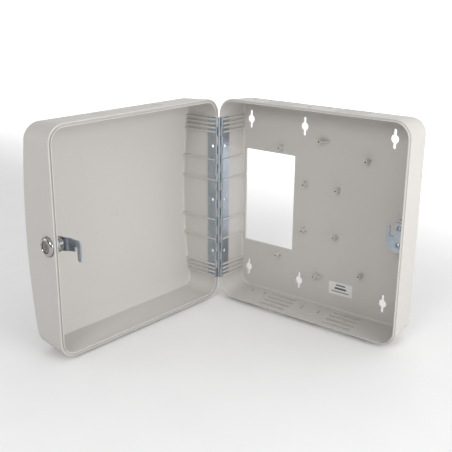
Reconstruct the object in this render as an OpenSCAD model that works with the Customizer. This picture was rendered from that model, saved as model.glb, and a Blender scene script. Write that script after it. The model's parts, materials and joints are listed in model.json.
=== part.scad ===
// Lockable surface-mount enclosure for small network gear, shown with its door open.
// Origin: centre of the four corner wall-fixing keyholes, on the mounting face.
// +X runs from the hinge side to the latch side, +Y into the wall, +Z up.

/* [Enclosure] */
// Outside width across the rim, from the hinge side to the latch side
box_w = 275; // [230:1:340]
// Outside height of the rim
box_h = 281.5; // [234:0.5:340]
// Depth of the base, from the opening plane to the mounting face
base_d = 50; // [41:0.5:65]
// Depth of the door at the crown of its bowed front
door_d = 63.5; // [53:0.5:80]
// Radius of the bow across the door's front, from top to bottom
bow_r = 720; // [600:10:2000]
// Thickness of the side walls of both shells
wall = 3.2; // [2.7:0.1:3.9]
// Thickness of the base's back panel
back_t = 3.2; // [2.6:0.1:4]
// Thickness of the door's front panel
front_t = 3; // [2.5:0.1:3.8]
// Corner radius of the rim
corner_r = 22; // [18:0.5:27]
// Inset of the side walls for each millimetre of depth
draft = 0.064; // [0.03:0.002:0.07]
// Outside rounding where the walls meet the front and back panels
edge_r = 5; // [4:0.5:7]
// Inside rounding where the walls meet the front and back panels
inner_edge_r = 2.5; // [1.5:0.1:3]
// Angle of the open door from its closed position
open_angle = 93.4; // [80:0.1:120]

/* [Rim joint] */
// Width of the outer land that the two rims close on
land_t = 1.9; // [1.5:0.1:2.2]
// Height of the base's tongue above its land
tongue_h = 2; // [1.6:0.1:2.6]
// Clearance between the tongue and the door's groove
tongue_clear = 0.35; // [0.3:0.05:0.5]
// Gap between the two rims when the door is closed
rim_gap = 0.4; // [0.3:0.05:0.6]
// Extra width of the door's groove behind the tongue
groove_room = 0.3; // [0.1:0.05:0.6]
// Thickness of the door's inner lip beside the groove
lip_t = 1.3; // [1:0.1:1.6]
// Depth of the door's inner lip from the opening plane
lip_deep = 5; // [4:0.1:6]

/* [Hinge] */
// Distance of the pin's axis outside the hinge-side walls
pin_out = 0.5; // [0.4:0.1:0.7]
// Radius of the hinge pin
pin_r = 1; // [0.8:0.05:1.2]
// Running clearance of the pin in its knuckles
pin_clear = 0.05; // [0.02:0.01:0.08]
// Thickness of the hinge's sheet metal
leaf_t = 0.95; // [0.8:0.05:1.1]
// Length of one knuckle with its end clearance
knuckle_pitch = 12.7; // [10:0.1:16]
// Clearance between neighbouring knuckles
knuckle_gap = 0.35; // [0.3:0.05:0.6]
// Straight rim left free at each end of the hinge
hinge_margin = 4; // [2:0.5:8]
// Depth that each leaf reaches into its shell
leaf_reach = 15.4; // [13:0.1:18]
// Depth of the holes through each leaf
leaf_hole_v = 7; // [6:0.1:8]
// Radius of the holes through each leaf
leaf_hole_r = 2.2; // [1.5:0.1:2.6]
// Size along the depth of the window in the wall behind each leaf hole
window_len = 8.8; // [7.5:0.1:9]
// Height of the window in the wall behind each leaf hole
window_h = 8; // [6:0.1:9]
// Distance between neighbouring leaf holes
leaf_hole_pitch = 75; // [70:1:78]
// Gap between a leaf and the shell around it
leaf_clear = 0.1; // [0.05:0.01:0.15]

/* [Ribs over the hinge] */
// Height of the ribs above the hinge-side walls
rib_h = 2.6; // [2.2:0.1:3.2]
// Thickness of the single ribs
rib_t = 1.8; // [1.2:0.1:2.4]
// Distance between the single ribs
rib_pitch = 28.3; // [24:0.1:30]
// Thickness of the ribs in the groups at the hinge's ends
group_rib_t = 2.3; // [1.6:0.1:2.6]
// Distance between the ribs of a group
group_pitch = 5.7; // [5:0.1:6.4]
// Distance of a group's last rib from the hinge's end
group_inset = 2.3; // [1.5:0.1:4]

/* [Wall fixing] */
// First keyhole column, from the hinge-side rim
key_from_hinge = 18.3; // [17:0.1:24]
// Middle keyhole column, from the hinge-side rim
key_middle = 104.4; // [101:0.1:112]
// Last keyhole column, from the latch-side rim
key_from_latch = 42.7; // [36:0.1:50]
// Keyhole rows, from the top and bottom rims
key_from_edge = 32.8; // [28:0.1:36]
// Radius of the keyhole's round middle, which the screw head passes
key_head_r = 5.5; // [4.6:0.1:5.8]
// Width of the keyhole's two narrow ends
key_slot_w = 4.2; // [3.6:0.1:4.6]
// Full length of a keyhole
key_len = 25; // [21:0.5:27]

/* [Cable opening] */
// Width of the rectangular opening in the back panel
cable_w = 80.5; // [60:0.5:82]
// Height of the rectangular opening in the back panel
cable_h = 133; // [100:1:140]
// Distance of the opening from the hinge-side rim
cable_from_hinge = 11; // [10:0.5:12]

/* [Device bosses] */
// Height of the screw bosses above the back panel
boss_h = 9.9; // [6:0.1:12]
// Radius of the screw bosses
boss_r = 3; // [2.6:0.1:3.6]
// Radius of the pilot holes in the bosses
pilot_r = 1.25; // [1:0.05:1.5]
// Depth of the pilot holes
pilot_depth = 8; // [5:0.5:8.5]
// Centre of the boss rectangles, towards the hinge side from the box's centre
boss_shift = 2; // [0:0.1:4]
// Centre of the paired bosses, towards the hinge side from the box's centre
pair_shift = 5; // [3:0.1:7]
// Width of the inner boss rectangle
inner_boss_w = 49; // [40:0.5:60]
// Height of the inner boss rectangle
inner_boss_h = 63.8; // [50:0.1:75]
// Width of the outer boss rectangle
outer_boss_w = 129.4; // [120:0.1:140]
// Height of the outer boss rectangle
outer_boss_h = 152.2; // [148:0.1:160]
// Height of the pair of ribbed bosses
pair_boss_h = 185.8; // [176:0.1:190]
// Foot length of the rib beside each of the paired bosses
boss_rib_len = 8; // [5:0.5:10]

/* [Vents and knockouts] */
// Length of a vent slot
vent_len = 42; // [30:1:46]
// Width of a vent slot
vent_w = 3; // [2:0.1:4]
// Distance between neighbouring vent slots
vent_pitch = 10.3; // [8:0.1:10.5]
// Depth of the first vent slot from the opening plane
vent_first = 7; // [6:0.1:8]
// Most slots in each group, as far as the base's depth has room for them
vent_count = 4; // [2:1:4]
// Distance of each vent group from the box's centre
vent_from_centre = 50.3; // [46:0.1:60]
// Radius of the centre knockouts
large_knock_r = 14.1; // [11.1:0.1:14.6]
// Radius of the knockouts beside the hinge
small_knock_r = 11.1; // [9:0.1:11.6]
// Width of the groove around a knockout
knock_groove = 1.8; // [1.2:0.1:2]
// Web left at the bottom of a knockout's groove
knock_web = 0.9; // [0.6:0.1:1.2]
// Distance of the centre knockouts from the mounting face
large_knock_back = 23; // [21:0.5:26]
// Distance of the small knockouts from the mounting face
small_knock_back = 17; // [16.5:0.5:24]
// Distance of the small knockouts from the hinge-side rim
small_knock_s = 47; // [40:0.5:50]

/* [Lock] */
// Depth of the lock's axis in the door, from the opening plane
lock_v = 14.2; // [14:0.1:16]
// Radius of the lock's round barrel
barrel_r = 9.5; // [9:0.1:9.9]
// Distance across the barrel's two flats
barrel_flats = 15.9; // [15:0.1:17]
// Length of the barrel behind the domed head
barrel_len = 15.5; // [15:0.1:18]
// Radius of the domed head
head_r = 11.8; // [11:0.1:12.5]
// Height of the domed head
head_h = 4.6; // [3.6:0.1:5.5]
// Depth of the flat seat cut for the head, at its middle
seat_depth = 0.85; // [0.8:0.05:1.1]
// Radius of the plug
plug_r = 6.5; // [6:0.1:6.8]
// Running clearance of the plug in the barrel
plug_clear = 0.05; // [0.02:0.01:0.08]
// Across-flats size of the barrel's nut
nut_af = 22.2; // [21.8:0.1:22.6]
// Thickness of the barrel's nut
nut_t = 3.2; // [2.4:0.1:3.6]
// Thickness of the washer under the nut
washer_t = 1; // [0.6:0.1:1.2]
// Thickness of the cam
cam_t = 2; // [1.6:0.1:2.2]
// Sideways step between the cam's hub and its arm
cam_step = 2.15; // [2:0.05:2.6]
// Reach of the cam's hook from the lock's axis to the inside of its finger
cam_reach = 29; // [28:0.1:32]
// Width of the cam's finger
finger_w = 6; // [5:0.1:7.5]
// Drop of the finger's tip below the lock's axis
finger_drop = 16; // [12:0.5:20]

/* [Strike plate] */
// Thickness of the strike plate
strike_t = 1.6; // [1.2:0.1:1.8]
// Clearance between the strike plate and the cam's finger
strike_clear = 0.7; // [0.5:0.05:1]
// Width of the slot that the cam's arm enters
strike_slot_w = 6.2; // [5.5:0.1:7]
// Width of the prong beside the slot
prong_w = 4.2; // [3.6:0.1:6]
// Distance between the strike plate's two screws
strike_screw_pitch = 21.2; // [19:0.1:23]
// Radius of the strike screws' heads
strike_head_r = 3.6; // [3:0.1:4]
// Radius of the strike screws' shanks
strike_shank_r = 1.75; // [1.5:0.05:2]

/* [Label] */
// Width of the blank label inside the base
label_w = 35.5; // [25:0.5:40]
// Height of the blank label
label_h = 17.8; // [12:0.2:20]
// Thickness of the blank label
label_t = 0.2; // [0.1:0.05:0.4]

/* [Hidden] */
$fn = 64;

eps = 0.02;        // overshoot of an exact cut past a panel
over = 1;          // overshoot of a cut through a wall
touch = 0.02;      // gap left between pieces that bear on each other
play = 0.05;       // clearance of a plain fit
arc_n = 8;         // facets in each rounded corner
side_n = 12;       // facets along the bowed sides
round_n = 3;       // facets across the rounded front edge

// Places in the base, measured s from the hinge-side rim, v inwards from the opening plane, z from mid-height
key_w = box_w - key_from_hinge - key_from_latch;
key_h = box_h - 2 * key_from_edge;
rim_x = -key_w / 2 - key_from_hinge;
mid_s = box_w / 2;
floor_v = base_d - back_t;

knuckle_r = pin_r + pin_clear + leaf_t;
knuckle_room = 0.35;
rib_gap = 0.2;
rim_cut = knuckle_r + knuckle_room;
rib_near = rim_cut + rib_gap;
rib_foot = 0.8;
hinge_end_gap = 0.4;
window_v = leaf_hole_v - leaf_hole_r;
groove_in = wall + tongue_clear + groove_room;
hinge_pairs = floor((box_h - 2 * corner_r - 2 * hinge_margin) / (2 * knuckle_pitch));
knuckles = 2 * hinge_pairs;
hinge_half = hinge_pairs * knuckle_pitch;
hinge_reach = hinge_half + hinge_end_gap;
notch_past = 0.5;
notch_below = 0.3;
notch_s = wall + leaf_t + notch_past;
notch_v = knuckle_r + notch_below;
leaf_tan = pin_r + pin_clear + play;
leaf_slack = leaf_clear / 2;
tab_v = knuckle_r - play;

vents_each = min(vent_count, 1 + floor((floor_v - inner_edge_r - vent_w / 2 - vent_first) / vent_pitch));
large_knock_v = base_d - large_knock_back;
small_knock_v = base_d - small_knock_back;
boss_rib_t = 1.6;
boss_rib_drop = 1;
boss_rib_land = 0.6;
boss_rib_toe = 1.2;

// Recessed panel with bars in the door's top wall, pinholes in its rim
panel_long = 104;
panel_wide = 22;
panel_deep = 0.7;
panel_v = 27;
panel_shift = 2;
panel_end = 6;
bar_w = 3.2;
bar_pitch = 6.5;
bar_low = 0.2;
pinhole_s = 24;
pinhole_inset = 0.8;
pinhole_r = 0.6;
pinhole_deep = 3;

// Lock
lock_s = box_w - draft * lock_v - seat_depth;
pad_h = 1;
pad_margin = 1.6;
rim_w = 0.8;
nut_seat_s = box_w - wall - draft * lock_v - pad_h;
cam_gap = 0.15;
cam_hub_s = lock_s - barrel_len - cam_gap;
cam_arm_s = cam_hub_s - cam_step;
slot_mid_s = cam_arm_s - cam_t / 2;
cam_hub_r = 8.4;
cam_top = 9.2;
cam_turn_r = 4;
cam_neck = 2.2;
cam_notch = 1.3;
cam_under = 7.3;
cam_waist = 5.2;
cam_heel = 4;
cam_ramp = 1.2;
cam_shoulder = 0.8;
bend_start = 9.2;
bend_end = 15.5;
bend_lag = 0.3;
drive_w = 6;
face_h = 3.6;
face_rim = 0.7;
face_seat = 1.6;
face_low = 0.5;
key_slot_t = 1.6;
key_slot_h = 6.6;
key_slot_low = 4;
wafer_count = 5;
wafer_pitch = 2.2;
wafer_t = 0.9;
wafer_w = 4;
wafer_h = 11.4;
wafer_first = 2.6;
wafer_room = 0.1;
wafer_side = 0.9;
wafer_key_low = 3.4;
wafer_key_h = 6;
wafer_slot_in = 0.4;
wafer_slot_deep = 0.5;
spring_y = 1.62;
spring_low = 4.4;
spring_r = 0.36;
spring_h = 2.6;
spring_room = 0.2;
cam_washer_t = 0.8;
cam_washer_r = 5.6;
cam_screw_r = 1.5;
cam_screw_head = 2.6;
cam_screw_af = 6.93;
cam_screw_deep = 1.7;

// Strike plate and label
strike_v = cam_reach - lock_v - strike_clear - strike_t;
strike_edge_s = slot_mid_s + strike_slot_w / 2;
strike_left_s = strike_edge_s - strike_slot_w - prong_w;
strike_z = -1.3;
strike_screw_in = 5.3;
strike_gap = 0.6;
strike_screw_s = strike_edge_s + strike_screw_in;
strike_right_s = box_w - wall - draft * strike_v - strike_gap;
strike_low = 20;
strike_high = 18;
strike_turn_r = 11;
prong_h = 8.5;
strike_head_h = 1.8;
strike_grip = 10;
cross_l = 5;
cross_w = 1.1;
cross_deep = 1.2;
block_in = 1.2;
block_up = 1;
block_left_s = strike_edge_s + block_in;
block_low = strike_z - strike_low + block_up;
block_h = 38.8;
block_slope_s = 6;
block_slope_v = 12;
label_right = 33.2;
label_s = mid_s + label_right;
label_up = 36.5;
label_turn = 1.3;
shell_grey = [0.80, 0.79, 0.77];
zinc = [0.66, 0.69, 0.72];
chrome = [0.78, 0.78, 0.80];

module in_base() { translate([rim_x, -base_d, 0]) children(); }
module in_door() {
    translate([rim_x - pin_out, -base_d, 0]) rotate([0, 0, -open_angle])
        translate([pin_out, 0, 0]) children();
}

// Right half of a rounded rectangle from bottom to top, as [x, z, outward x, outward z]
function half_path(w, h, r) = concat(
    [for (k = [0:arc_n]) let (a = -90 + 90 * k / arc_n)
        [w / 2 - r + r * cos(a), -h / 2 + r + r * sin(a), cos(a), sin(a)]],
    [for (k = [1:side_n - 1]) [w / 2, (h / 2 - r) * (2 * k / side_n - 1), 1, 0]],
    [for (k = [0:arc_n]) let (a = 90 * k / arc_n)
        [w / 2 - r + r * cos(a), h / 2 - r + r * sin(a), cos(a), sin(a)]]);
function full_path(w, h, r) = let (p = half_path(w, h, r), n = len(p))
    concat(p, [for (i = [n - 1:-1:0]) [-p[i][0], p[i][1], -p[i][2], p[i][3]]]);
function bow_drop(z, bow) = bow > 0 ? bow - sqrt(bow * bow - z * z) : 0;

// Closed tub with drafted walls and a rounded far edge: open side at depth -lead, far face at depth far
module tub(w, h, r, far, edge, bow, lead) {
    path = full_path(w, h, r);
    n = len(path);
    half = n / 2;
    rings = concat(
        [[for (q = path) [q[0] + draft * lead * q[2], -lead, q[1] + draft * lead * q[3]]]],
        [for (k = [0:round_n]) let (a = 90 * k / round_n)
            [for (q = path) let (
                d = far - bow_drop(q[1], bow) - edge * (1 - sin(a)),
                e = draft * (far - bow_drop(q[1], bow)) + edge * (1 - cos(a)) * 0.99)
                [q[0] - e * q[2], d, q[1] - e * q[3]]]]);
    points = [for (ring = rings) for (p = ring) p];
    last = (len(rings) - 1) * n;
    sides = [for (s = [0:len(rings) - 2]) for (i = [0:n - 1]) let (j = (i + 1) % n)
        each [[s * n + i, s * n + j, (s + 1) * n + j], [s * n + i, (s + 1) * n + j, (s + 1) * n + i]]];
    front = [for (i = [0:half - 2]) let (a = last + i, b = last + n - 1 - i)
        each [[a, a + 1, b - 1], [a, b - 1, b]]];
    polyhedron(points, concat([[for (i = [n - 1:-1:0]) i]], sides, front), convexity = 6);
}
// Straight band with the rim's outline, inset from the outside, between two depths
module rim_block(inset, d0, d1) {
    translate([0, d0, 0]) rotate([90, 0, 0]) mirror([0, 0, 1]) linear_extrude(d1 - d0)
        polygon([for (q = full_path(box_w, box_h, corner_r)) [q[0] - inset * q[2], q[1] - inset * q[3]]]);
}
module outer_tub(far, bow) { tub(box_w, box_h, corner_r, far, edge_r, bow, 0); }
module cavity_tub(far, bow) {
    tub(box_w - 2 * wall, box_h - 2 * wall, corner_r - wall, far, inner_edge_r, bow, tongue_h + over);
}

// Cylinder along X or along Y, starting at the given point
module rod_x(p, r, len) { translate(p) rotate([0, 90, 0]) cylinder(r = r, h = len); }
module rod_y(p, r, len) { translate(p) rotate([-90, 0, 0]) cylinder(r = r, h = len); }

// Slab that follows the drafted hinge-side wall, between two distances from it
module wall_slab(s0, s1, v0, v1, z0, z1) {
    translate([0, 0, z0]) linear_extrude(z1 - z0)
        polygon([[s0 + draft * v0, v0], [s1 + draft * v0, v0], [s1 + draft * v1, v1], [s0 + draft * v1, v1]]);
}
function single_rib_z() = [for (k = [-2, -1, 1, 2]) k * rib_pitch];
function group_rib_z() = [for (side = [-1, 1], k = [0:3])
    side * (hinge_half - group_inset - k * group_pitch)];
module hinge_ribs(far) {
    for (z = single_rib_z())
        wall_slab(wall - rib_foot, wall + rib_h, rib_near, far, z - rib_t / 2, z + rib_t / 2);
    for (z = group_rib_z())
        wall_slab(wall - rib_foot, wall + rib_h, rib_near, far, z - group_rib_t / 2, z + group_rib_t / 2);
}
// Room for the leaf: its pocket under the ribs, the cut-back rim and a window behind each of its holes
module hinge_cuts() {
    zh = hinge_reach;
    wall_slab(wall - leaf_clear, wall + leaf_t + leaf_clear, 0, leaf_reach + leaf_clear, -zh, zh);
    translate([-over, -tongue_h - over, -zh])
        cube([wall + rib_h + 2 * over, rim_cut + tongue_h + over, 2 * zh]);
    for (k = [-1:1]) let (z = k * leaf_hole_pitch)
        wall_slab(-2 * over, wall, window_v, window_v + window_len, z - window_h / 2, z + window_h / 2);
}

// Sheet-metal leaf with every second knuckle; even = 0 takes the lowest knuckle
module hinge_leaf(even) {
    plate_s = wall - leaf_slack;
    length = 2 * hinge_half - knuckle_gap;
    difference() {
        union() {
            wall_slab(plate_s, plate_s + leaf_t, leaf_tan, leaf_reach, -length / 2, length / 2);
            translate([-pin_out, leaf_tan, -length / 2])
                cube([pin_out + plate_s + leaf_t, tab_v - leaf_tan, length]);
            for (k = [even:2:knuckles - 1])
                translate([-pin_out, 0, -hinge_half + k * knuckle_pitch + knuckle_gap / 2])
                    cylinder(r = knuckle_r, h = knuckle_pitch - knuckle_gap);
        }
        translate([-pin_out, 0, -hinge_half - over])
            cylinder(r = pin_r + pin_clear, h = 2 * (hinge_half + over));
        for (k = [1 - even:2:knuckles - 1])
            translate([-pin_out - over, -knuckle_r, -hinge_half + k * knuckle_pitch - knuckle_gap / 2])
                cube([over + pin_out + notch_s, knuckle_r + notch_v, knuckle_pitch + knuckle_gap]);
        for (k = [-1:1]) rod_x([0, leaf_hole_v, k * leaf_hole_pitch], leaf_hole_r, wall + 2 * leaf_t + over);
    }
}

// Round hole with a narrow slot above and below it, through the back panel
module keyhole() {
    rod_y([0, floor_v - over, 0], key_head_r, back_t + 2 * over);
    for (side = [-1, 1]) rod_y([0, floor_v - over, side * (key_len / 2 - key_slot_w / 2)], key_slot_w / 2,
                               back_t + 2 * over);
    translate([-key_slot_w / 2, floor_v - over, -key_len / 2 + key_slot_w / 2])
        cube([key_slot_w, back_t + 2 * over, key_len - key_slot_w]);
}
module vent_slot(s, v, z) {
    flat = vent_len - vent_w;
    translate([s, v, z]) {
        translate([-flat / 2, -vent_w / 2, 0]) cube([flat, vent_w, 4 * wall]);
        for (side = [-1, 1]) translate([side * flat / 2, 0, 0]) cylinder(r = vent_w / 2, h = 4 * wall);
    }
}
// Breakaway disc in the top wall: a round groove cut from outside, and two short slits right through
module ring_cut(r, h) {
    difference() {
        cylinder(r = r, h = h);
        translate([0, 0, -over]) cylinder(r = r - knock_groove, h = h + 2 * over);
    }
}
module knockout(s, v, r) {
    translate([s, v, box_h / 2 - draft * v]) rotate([-atan(draft), 0, 0]) {
        translate([0, 0, knock_web - wall]) ring_cut(r, 2 * wall);
        translate([0, 0, -wall - over]) intersection() {
            ring_cut(r, 2 * wall);
            translate([-r - over, -r / 6, 0]) cube([2 * (r + over), r / 3, 2 * wall]);
        }
    }
}
function boss_places() = let (c = mid_s - boss_shift) [
    for (i = [-1, 1], j = [-1, 1]) [c + i * inner_boss_w / 2, j * inner_boss_h / 2],
    for (i = [-1, 1], j = [-1, 1]) [c + i * outer_boss_w / 2, j * outer_boss_h / 2]];
function pair_places() = [for (j = [-1, 1]) [mid_s - pair_shift, j * pair_boss_h / 2]];

module boss(p) { rod_y([p[0], floor_v - boss_h, p[1]], boss_r, boss_h + back_t / 2); }
module boss_rib(p) {
    near = floor_v - boss_h + boss_rib_drop;
    foot = boss_r + boss_rib_len;
    translate([p[0], 0, p[1] - boss_rib_t / 2]) linear_extrude(boss_rib_t)
        polygon([[0, near], [boss_r + boss_rib_land, near], [foot, floor_v - boss_rib_toe],
                 [foot, floor_v + over], [0, floor_v + over]]);
}
// Block on the latch-side wall that carries the strike plate
module strike_block() {
    top = strike_v + strike_t;
    mid_wall = box_w - wall / 2;
    translate([0, 0, block_low]) linear_extrude(block_h)
        polygon([[block_left_s, top], [mid_wall - draft * top, top],
                 [mid_wall - draft * floor_v, floor_v + over],
                 [block_left_s + block_slope_s, floor_v + over], [block_left_s, top + block_slope_v]]);
}
function strike_screw_z() = [for (k = [-1, 1]) strike_z + k * strike_screw_pitch / 2];

module base_shell() {
    color(shell_grey) in_base() difference() {
        union() {
            difference() {
                union() {
                    intersection() {
                        translate([mid_s, 0, 0]) outer_tub(base_d + eps, 0);
                        translate([-over, -over, -box_h]) cube([box_w + 2 * over, base_d + over, 2 * box_h]);
                    }
                    translate([mid_s, 0, 0]) rim_block(land_t, -tongue_h, over);
                }
                translate([mid_s, 0, 0]) cavity_tub(floor_v, 0);
            }
            hinge_ribs(floor_v + 1);
            for (p = concat(boss_places(), pair_places())) boss(p);
            for (p = pair_places()) boss_rib(p);
            strike_block();
        }
        hinge_cuts();
        for (s = [key_from_hinge, key_middle, box_w - key_from_latch], side = [-1, 1])
            translate([s, 0, side * key_h / 2]) keyhole();
        translate([cable_from_hinge, floor_v - over, -cable_h / 2])
            cube([cable_w, back_t + 2 * over, cable_h]);
        for (p = concat(boss_places(), pair_places()))
            rod_y([p[0], floor_v - boss_h - over, p[1]], pilot_r, pilot_depth + over);
        for (z = strike_screw_z())
            rod_y([strike_screw_s, strike_v + strike_t - over, z], strike_shank_r + play,
                  strike_grip + 2 * over);
        for (flip = [0, 1]) mirror([0, 0, flip]) {
            for (side = [-1, 1], k = [0:vents_each - 1])
                vent_slot(mid_s + side * vent_from_centre, vent_first + k * vent_pitch, box_h / 2 - 3 * wall);
            knockout(mid_s, large_knock_v, large_knock_r);
            knockout(small_knock_s, small_knock_v, small_knock_r);
        }
    }
}
module base_hinge_leaf() { color(zinc) in_base() hinge_leaf(1); }
module hinge_pin() {
    color(zinc) in_base() translate([-pin_out, 0, -hinge_half + knuckle_gap])
        cylinder(r = pin_r, h = 2 * (hinge_half - knuckle_gap));
}
// Outline of the strike plate, s across and z up
module strike_outline() {
    turn = strike_turn_r;
    left = strike_left_s;
    difference() {
        union() {
            translate([strike_edge_s, strike_z]) square([strike_right_s - strike_edge_s, strike_high]);
            translate([left + turn, strike_z - strike_low])
                square([strike_right_s - left - turn, strike_low + 1]);
            translate([left, strike_z - strike_low + turn]) square([2 * turn, strike_low - turn]);
            translate([left + turn, strike_z - strike_low + turn]) circle(r = turn);
            translate([left, strike_z - 1]) square([prong_w, prong_h + 1]);
            translate([left + prong_w / 2, strike_z + prong_h]) circle(r = prong_w / 2);
        }
        for (z = strike_screw_z()) translate([strike_screw_s, z]) circle(r = strike_shank_r + 5 * play);
    }
}
module strike_plate() {
    color(zinc) in_base() translate([0, strike_v + strike_t, 0]) rotate([90, 0, 0])
        linear_extrude(strike_t) strike_outline();
}
module strike_screws() {
    color(zinc) in_base() for (z = strike_screw_z()) difference() {
        union() {
            rod_y([strike_screw_s, strike_v - strike_head_h, z], strike_head_r, strike_head_h);
            rod_y([strike_screw_s, strike_v - over, z], strike_shank_r, strike_t + strike_grip + over);
        }
        for (a = [45, 135]) translate([strike_screw_s, strike_v - strike_head_h, z]) rotate([0, a, 0])
            translate([-cross_l / 2, -over, -cross_w / 2]) cube([cross_l, cross_deep + over, cross_w]);
    }
}
module blank_label() {
    color("whitesmoke") in_base() translate([label_s, floor_v - label_t - touch, label_up - box_h / 2])
        rotate([0, -label_turn, 0]) translate([-label_w / 2, 0, -label_h / 2])
            cube([label_w, label_t, label_h]);
}

// Shallow plain panel with three raised bars in the door's top wall
module top_panel_cut() {
    bar_long = panel_long - 2 * panel_end;
    translate([mid_s + panel_shift, panel_v, box_h / 2 - draft * panel_v]) rotate([-atan(draft), 0, 0])
        difference() {
            translate([-panel_long / 2, -panel_wide / 2, -panel_deep])
                cube([panel_long, panel_wide, 3 * over]);
            for (k = [-1:1]) translate([-bar_long / 2, k * bar_pitch - bar_w / 2, -panel_deep - over])
                cube([bar_long, bar_w, panel_deep + over - bar_low]);
        }
}
// Inner lip beside the door's groove, left out along the hinge and behind the lock's washer
module door_lip() {
    difference() {
        translate([mid_s, 0, 0]) rim_block(wall - rib_foot, rim_gap, lip_deep);
        translate([mid_s, 0, 0]) rim_block(groove_in + lip_t, -over, lip_deep + over);
        translate([-over, -over, -hinge_reach])
            cube([wall + rib_h + over, lip_deep + 2 * over, 2 * hinge_reach]);
        rod_x([nut_seat_s - wall, lock_v, 0], nut_af / 2 / cos(30) + over, wall);
    }
}
module door_shell() {
    color(shell_grey) in_door() mirror([0, 1, 0]) difference() {
        union() {
            difference() {
                translate([mid_s, 0, 0]) intersection() {
                    outer_tub(door_d, bow_r);
                    translate([-box_w, rim_gap, -box_h]) cube([2 * box_w, door_d, 2 * box_h]);
                }
                translate([mid_s, 0, 0]) cavity_tub(door_d - front_t, bow_r);
            }
            intersection() {
                hinge_ribs(door_d - front_t + over);
                translate([mid_s, 0, 0])
                    tub(box_w - wall, box_h - wall, corner_r - wall / 2, door_d - front_t / 2, edge_r, bow_r, 0);
            }
            rod_x([nut_seat_s, lock_v, 0], nut_af / 2 + pad_margin,
                  box_w - nut_seat_s - draft * lock_v - wall / 2);
            door_lip();
        }
        difference() {
            translate([mid_s, 0, 0]) rim_block(land_t - tongue_clear, -over, tongue_h + tongue_clear);
            translate([mid_s, 0, 0]) rim_block(groove_in, -2 * over, tongue_h + tongue_clear + over);
        }
        hinge_cuts();
        intersection() {
            rod_x([nut_seat_s - over, lock_v, 0], barrel_r + 2 * play, 3 * wall);
            translate([nut_seat_s - over, lock_v - barrel_r - over, -barrel_flats / 2 - 2 * play])
                cube([4 * wall, 2 * (barrel_r + over), barrel_flats + 4 * play]);
        }
        rod_x([lock_s, lock_v, 0], head_r + 5 * play, 2 * wall);
        top_panel_cut();
        for (side = [-1, 1])
            rod_y([pinhole_s, 0, side * (box_h / 2 - pinhole_inset)], pinhole_r, pinhole_deep);
    }
}
module door_hinge_leaf() { color(zinc) in_door() mirror([0, 1, 0]) hinge_leaf(0); }

// Everything of the lock is drawn with the plug's axis on +X, the head's seat at x = 0 and the hook towards +Y
module in_lock() { in_door() translate([lock_s, -lock_v, 0]) children(); }
function head_profile() = [[0, 0], [0, head_r], [0.22, head_r], [0.43, head_r - 0.5], [0.7, head_r - 1.6],
                            [0.89, head_r - 3], [1, head_r - 4], [1, 0]];
module lock_barrel() {
    color(chrome) in_lock() difference() {
        union() {
            rotate([0, 90, 0]) rotate_extrude() polygon([for (p = head_profile()) [p[1], p[0] * head_h]]);
            intersection() {
                rod_x([-barrel_len, 0, 0], barrel_r, barrel_len + over);
                translate([-barrel_len - over, -barrel_r - over, -barrel_flats / 2])
                    cube([barrel_len + 3 * over, 2 * (barrel_r + over), barrel_flats]);
            }
        }
        rod_x([-barrel_len - over, 0, 0], plug_r + plug_clear, barrel_len + head_h + 2 * over);
        rod_x([face_seat, 0, 0], plug_r + face_rim + 2 * play, head_h);
        for (side = [-1, 1])
            translate([wafer_x(0) - over, wafer_slot_in - wafer_w / 2,
                       side * (plug_r - wafer_slot_deep) - wafer_side])
                cube([wafer_count * wafer_pitch + over, wafer_w - 2 * wafer_slot_in, 2 * wafer_side]);
    }
}
module ring_x(start, outer, inner, t) {
    difference() {
        rod_x([start, 0, 0], outer, t);
        rod_x([start - over, 0, 0], inner, t + 2 * over);
    }
}
module lock_washer() {
    color(zinc) in_lock()
        ring_x(nut_seat_s - lock_s - washer_t - touch, nut_af / 2 + rim_w, barrel_r + 3 * play, washer_t);
}
module lock_nut() {
    start = nut_seat_s - lock_s - washer_t - nut_t - 2 * touch;
    color(zinc) in_lock() difference() {
        translate([start, 0, 0]) rotate([0, 90, 0]) cylinder(r = nut_af / 2 / cos(30), h = nut_t, $fn = 6);
        rod_x([start - over, 0, 0], barrel_r + play, nut_t + 2 * over);
    }
}
function wafer_x(k) = -barrel_len + wafer_first + k * wafer_pitch;
module lock_plug() {
    slot = wafer_t + 2 * wafer_room;
    back = -barrel_len - 2 * play;
    color(chrome) in_lock() difference() {
        union() {
            rod_x([back, 0, 0], plug_r, barrel_len + face_h - face_low);
            rod_x([face_seat + 2 * play, 0, 0], plug_r + face_rim, face_h - face_seat - 2 * play);
            translate([back - cam_t, -drive_w / 2, -drive_w / 2]) cube([cam_t + over, drive_w, drive_w]);
        }
        translate([-key_slot_low, -key_slot_t / 2, -key_slot_low])
            cube([key_slot_low + head_h, key_slot_t, key_slot_h]);
        for (k = [0:wafer_count - 1])
            translate([wafer_x(k) - slot / 2, -wafer_w / 2 - wafer_room, -plug_r - over])
                cube([slot, wafer_w + 2 * wafer_room, 2 * (plug_r + over)]);
        rod_x([back - cam_t - over, 0, 0], cam_screw_r + play, cam_t + over + cam_screw_deep + 5 * play);
    }
}
module lock_wafers() {
    color("goldenrod") in_lock() for (k = [0:wafer_count - 1]) difference() {
        translate([wafer_x(k) - wafer_t / 2, -wafer_w / 2, -wafer_h / 2]) cube([wafer_t, wafer_w, wafer_h]);
        translate([wafer_x(k) - over, -wafer_side, -wafer_key_low])
            cube([2 * over, 2 * wafer_side, wafer_key_h]);
        translate([wafer_x(k) - over, spring_y - spring_r - play, -spring_low - spring_room])
            cube([2 * over, wafer_w, spring_h + 2 * spring_room]);
    }
}
module wafer_springs() {
    color("silver") in_lock() for (k = [0:wafer_count - 1])
        translate([wafer_x(k), spring_y, -spring_low]) cylinder(r = spring_r, h = spring_h);
}
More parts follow.
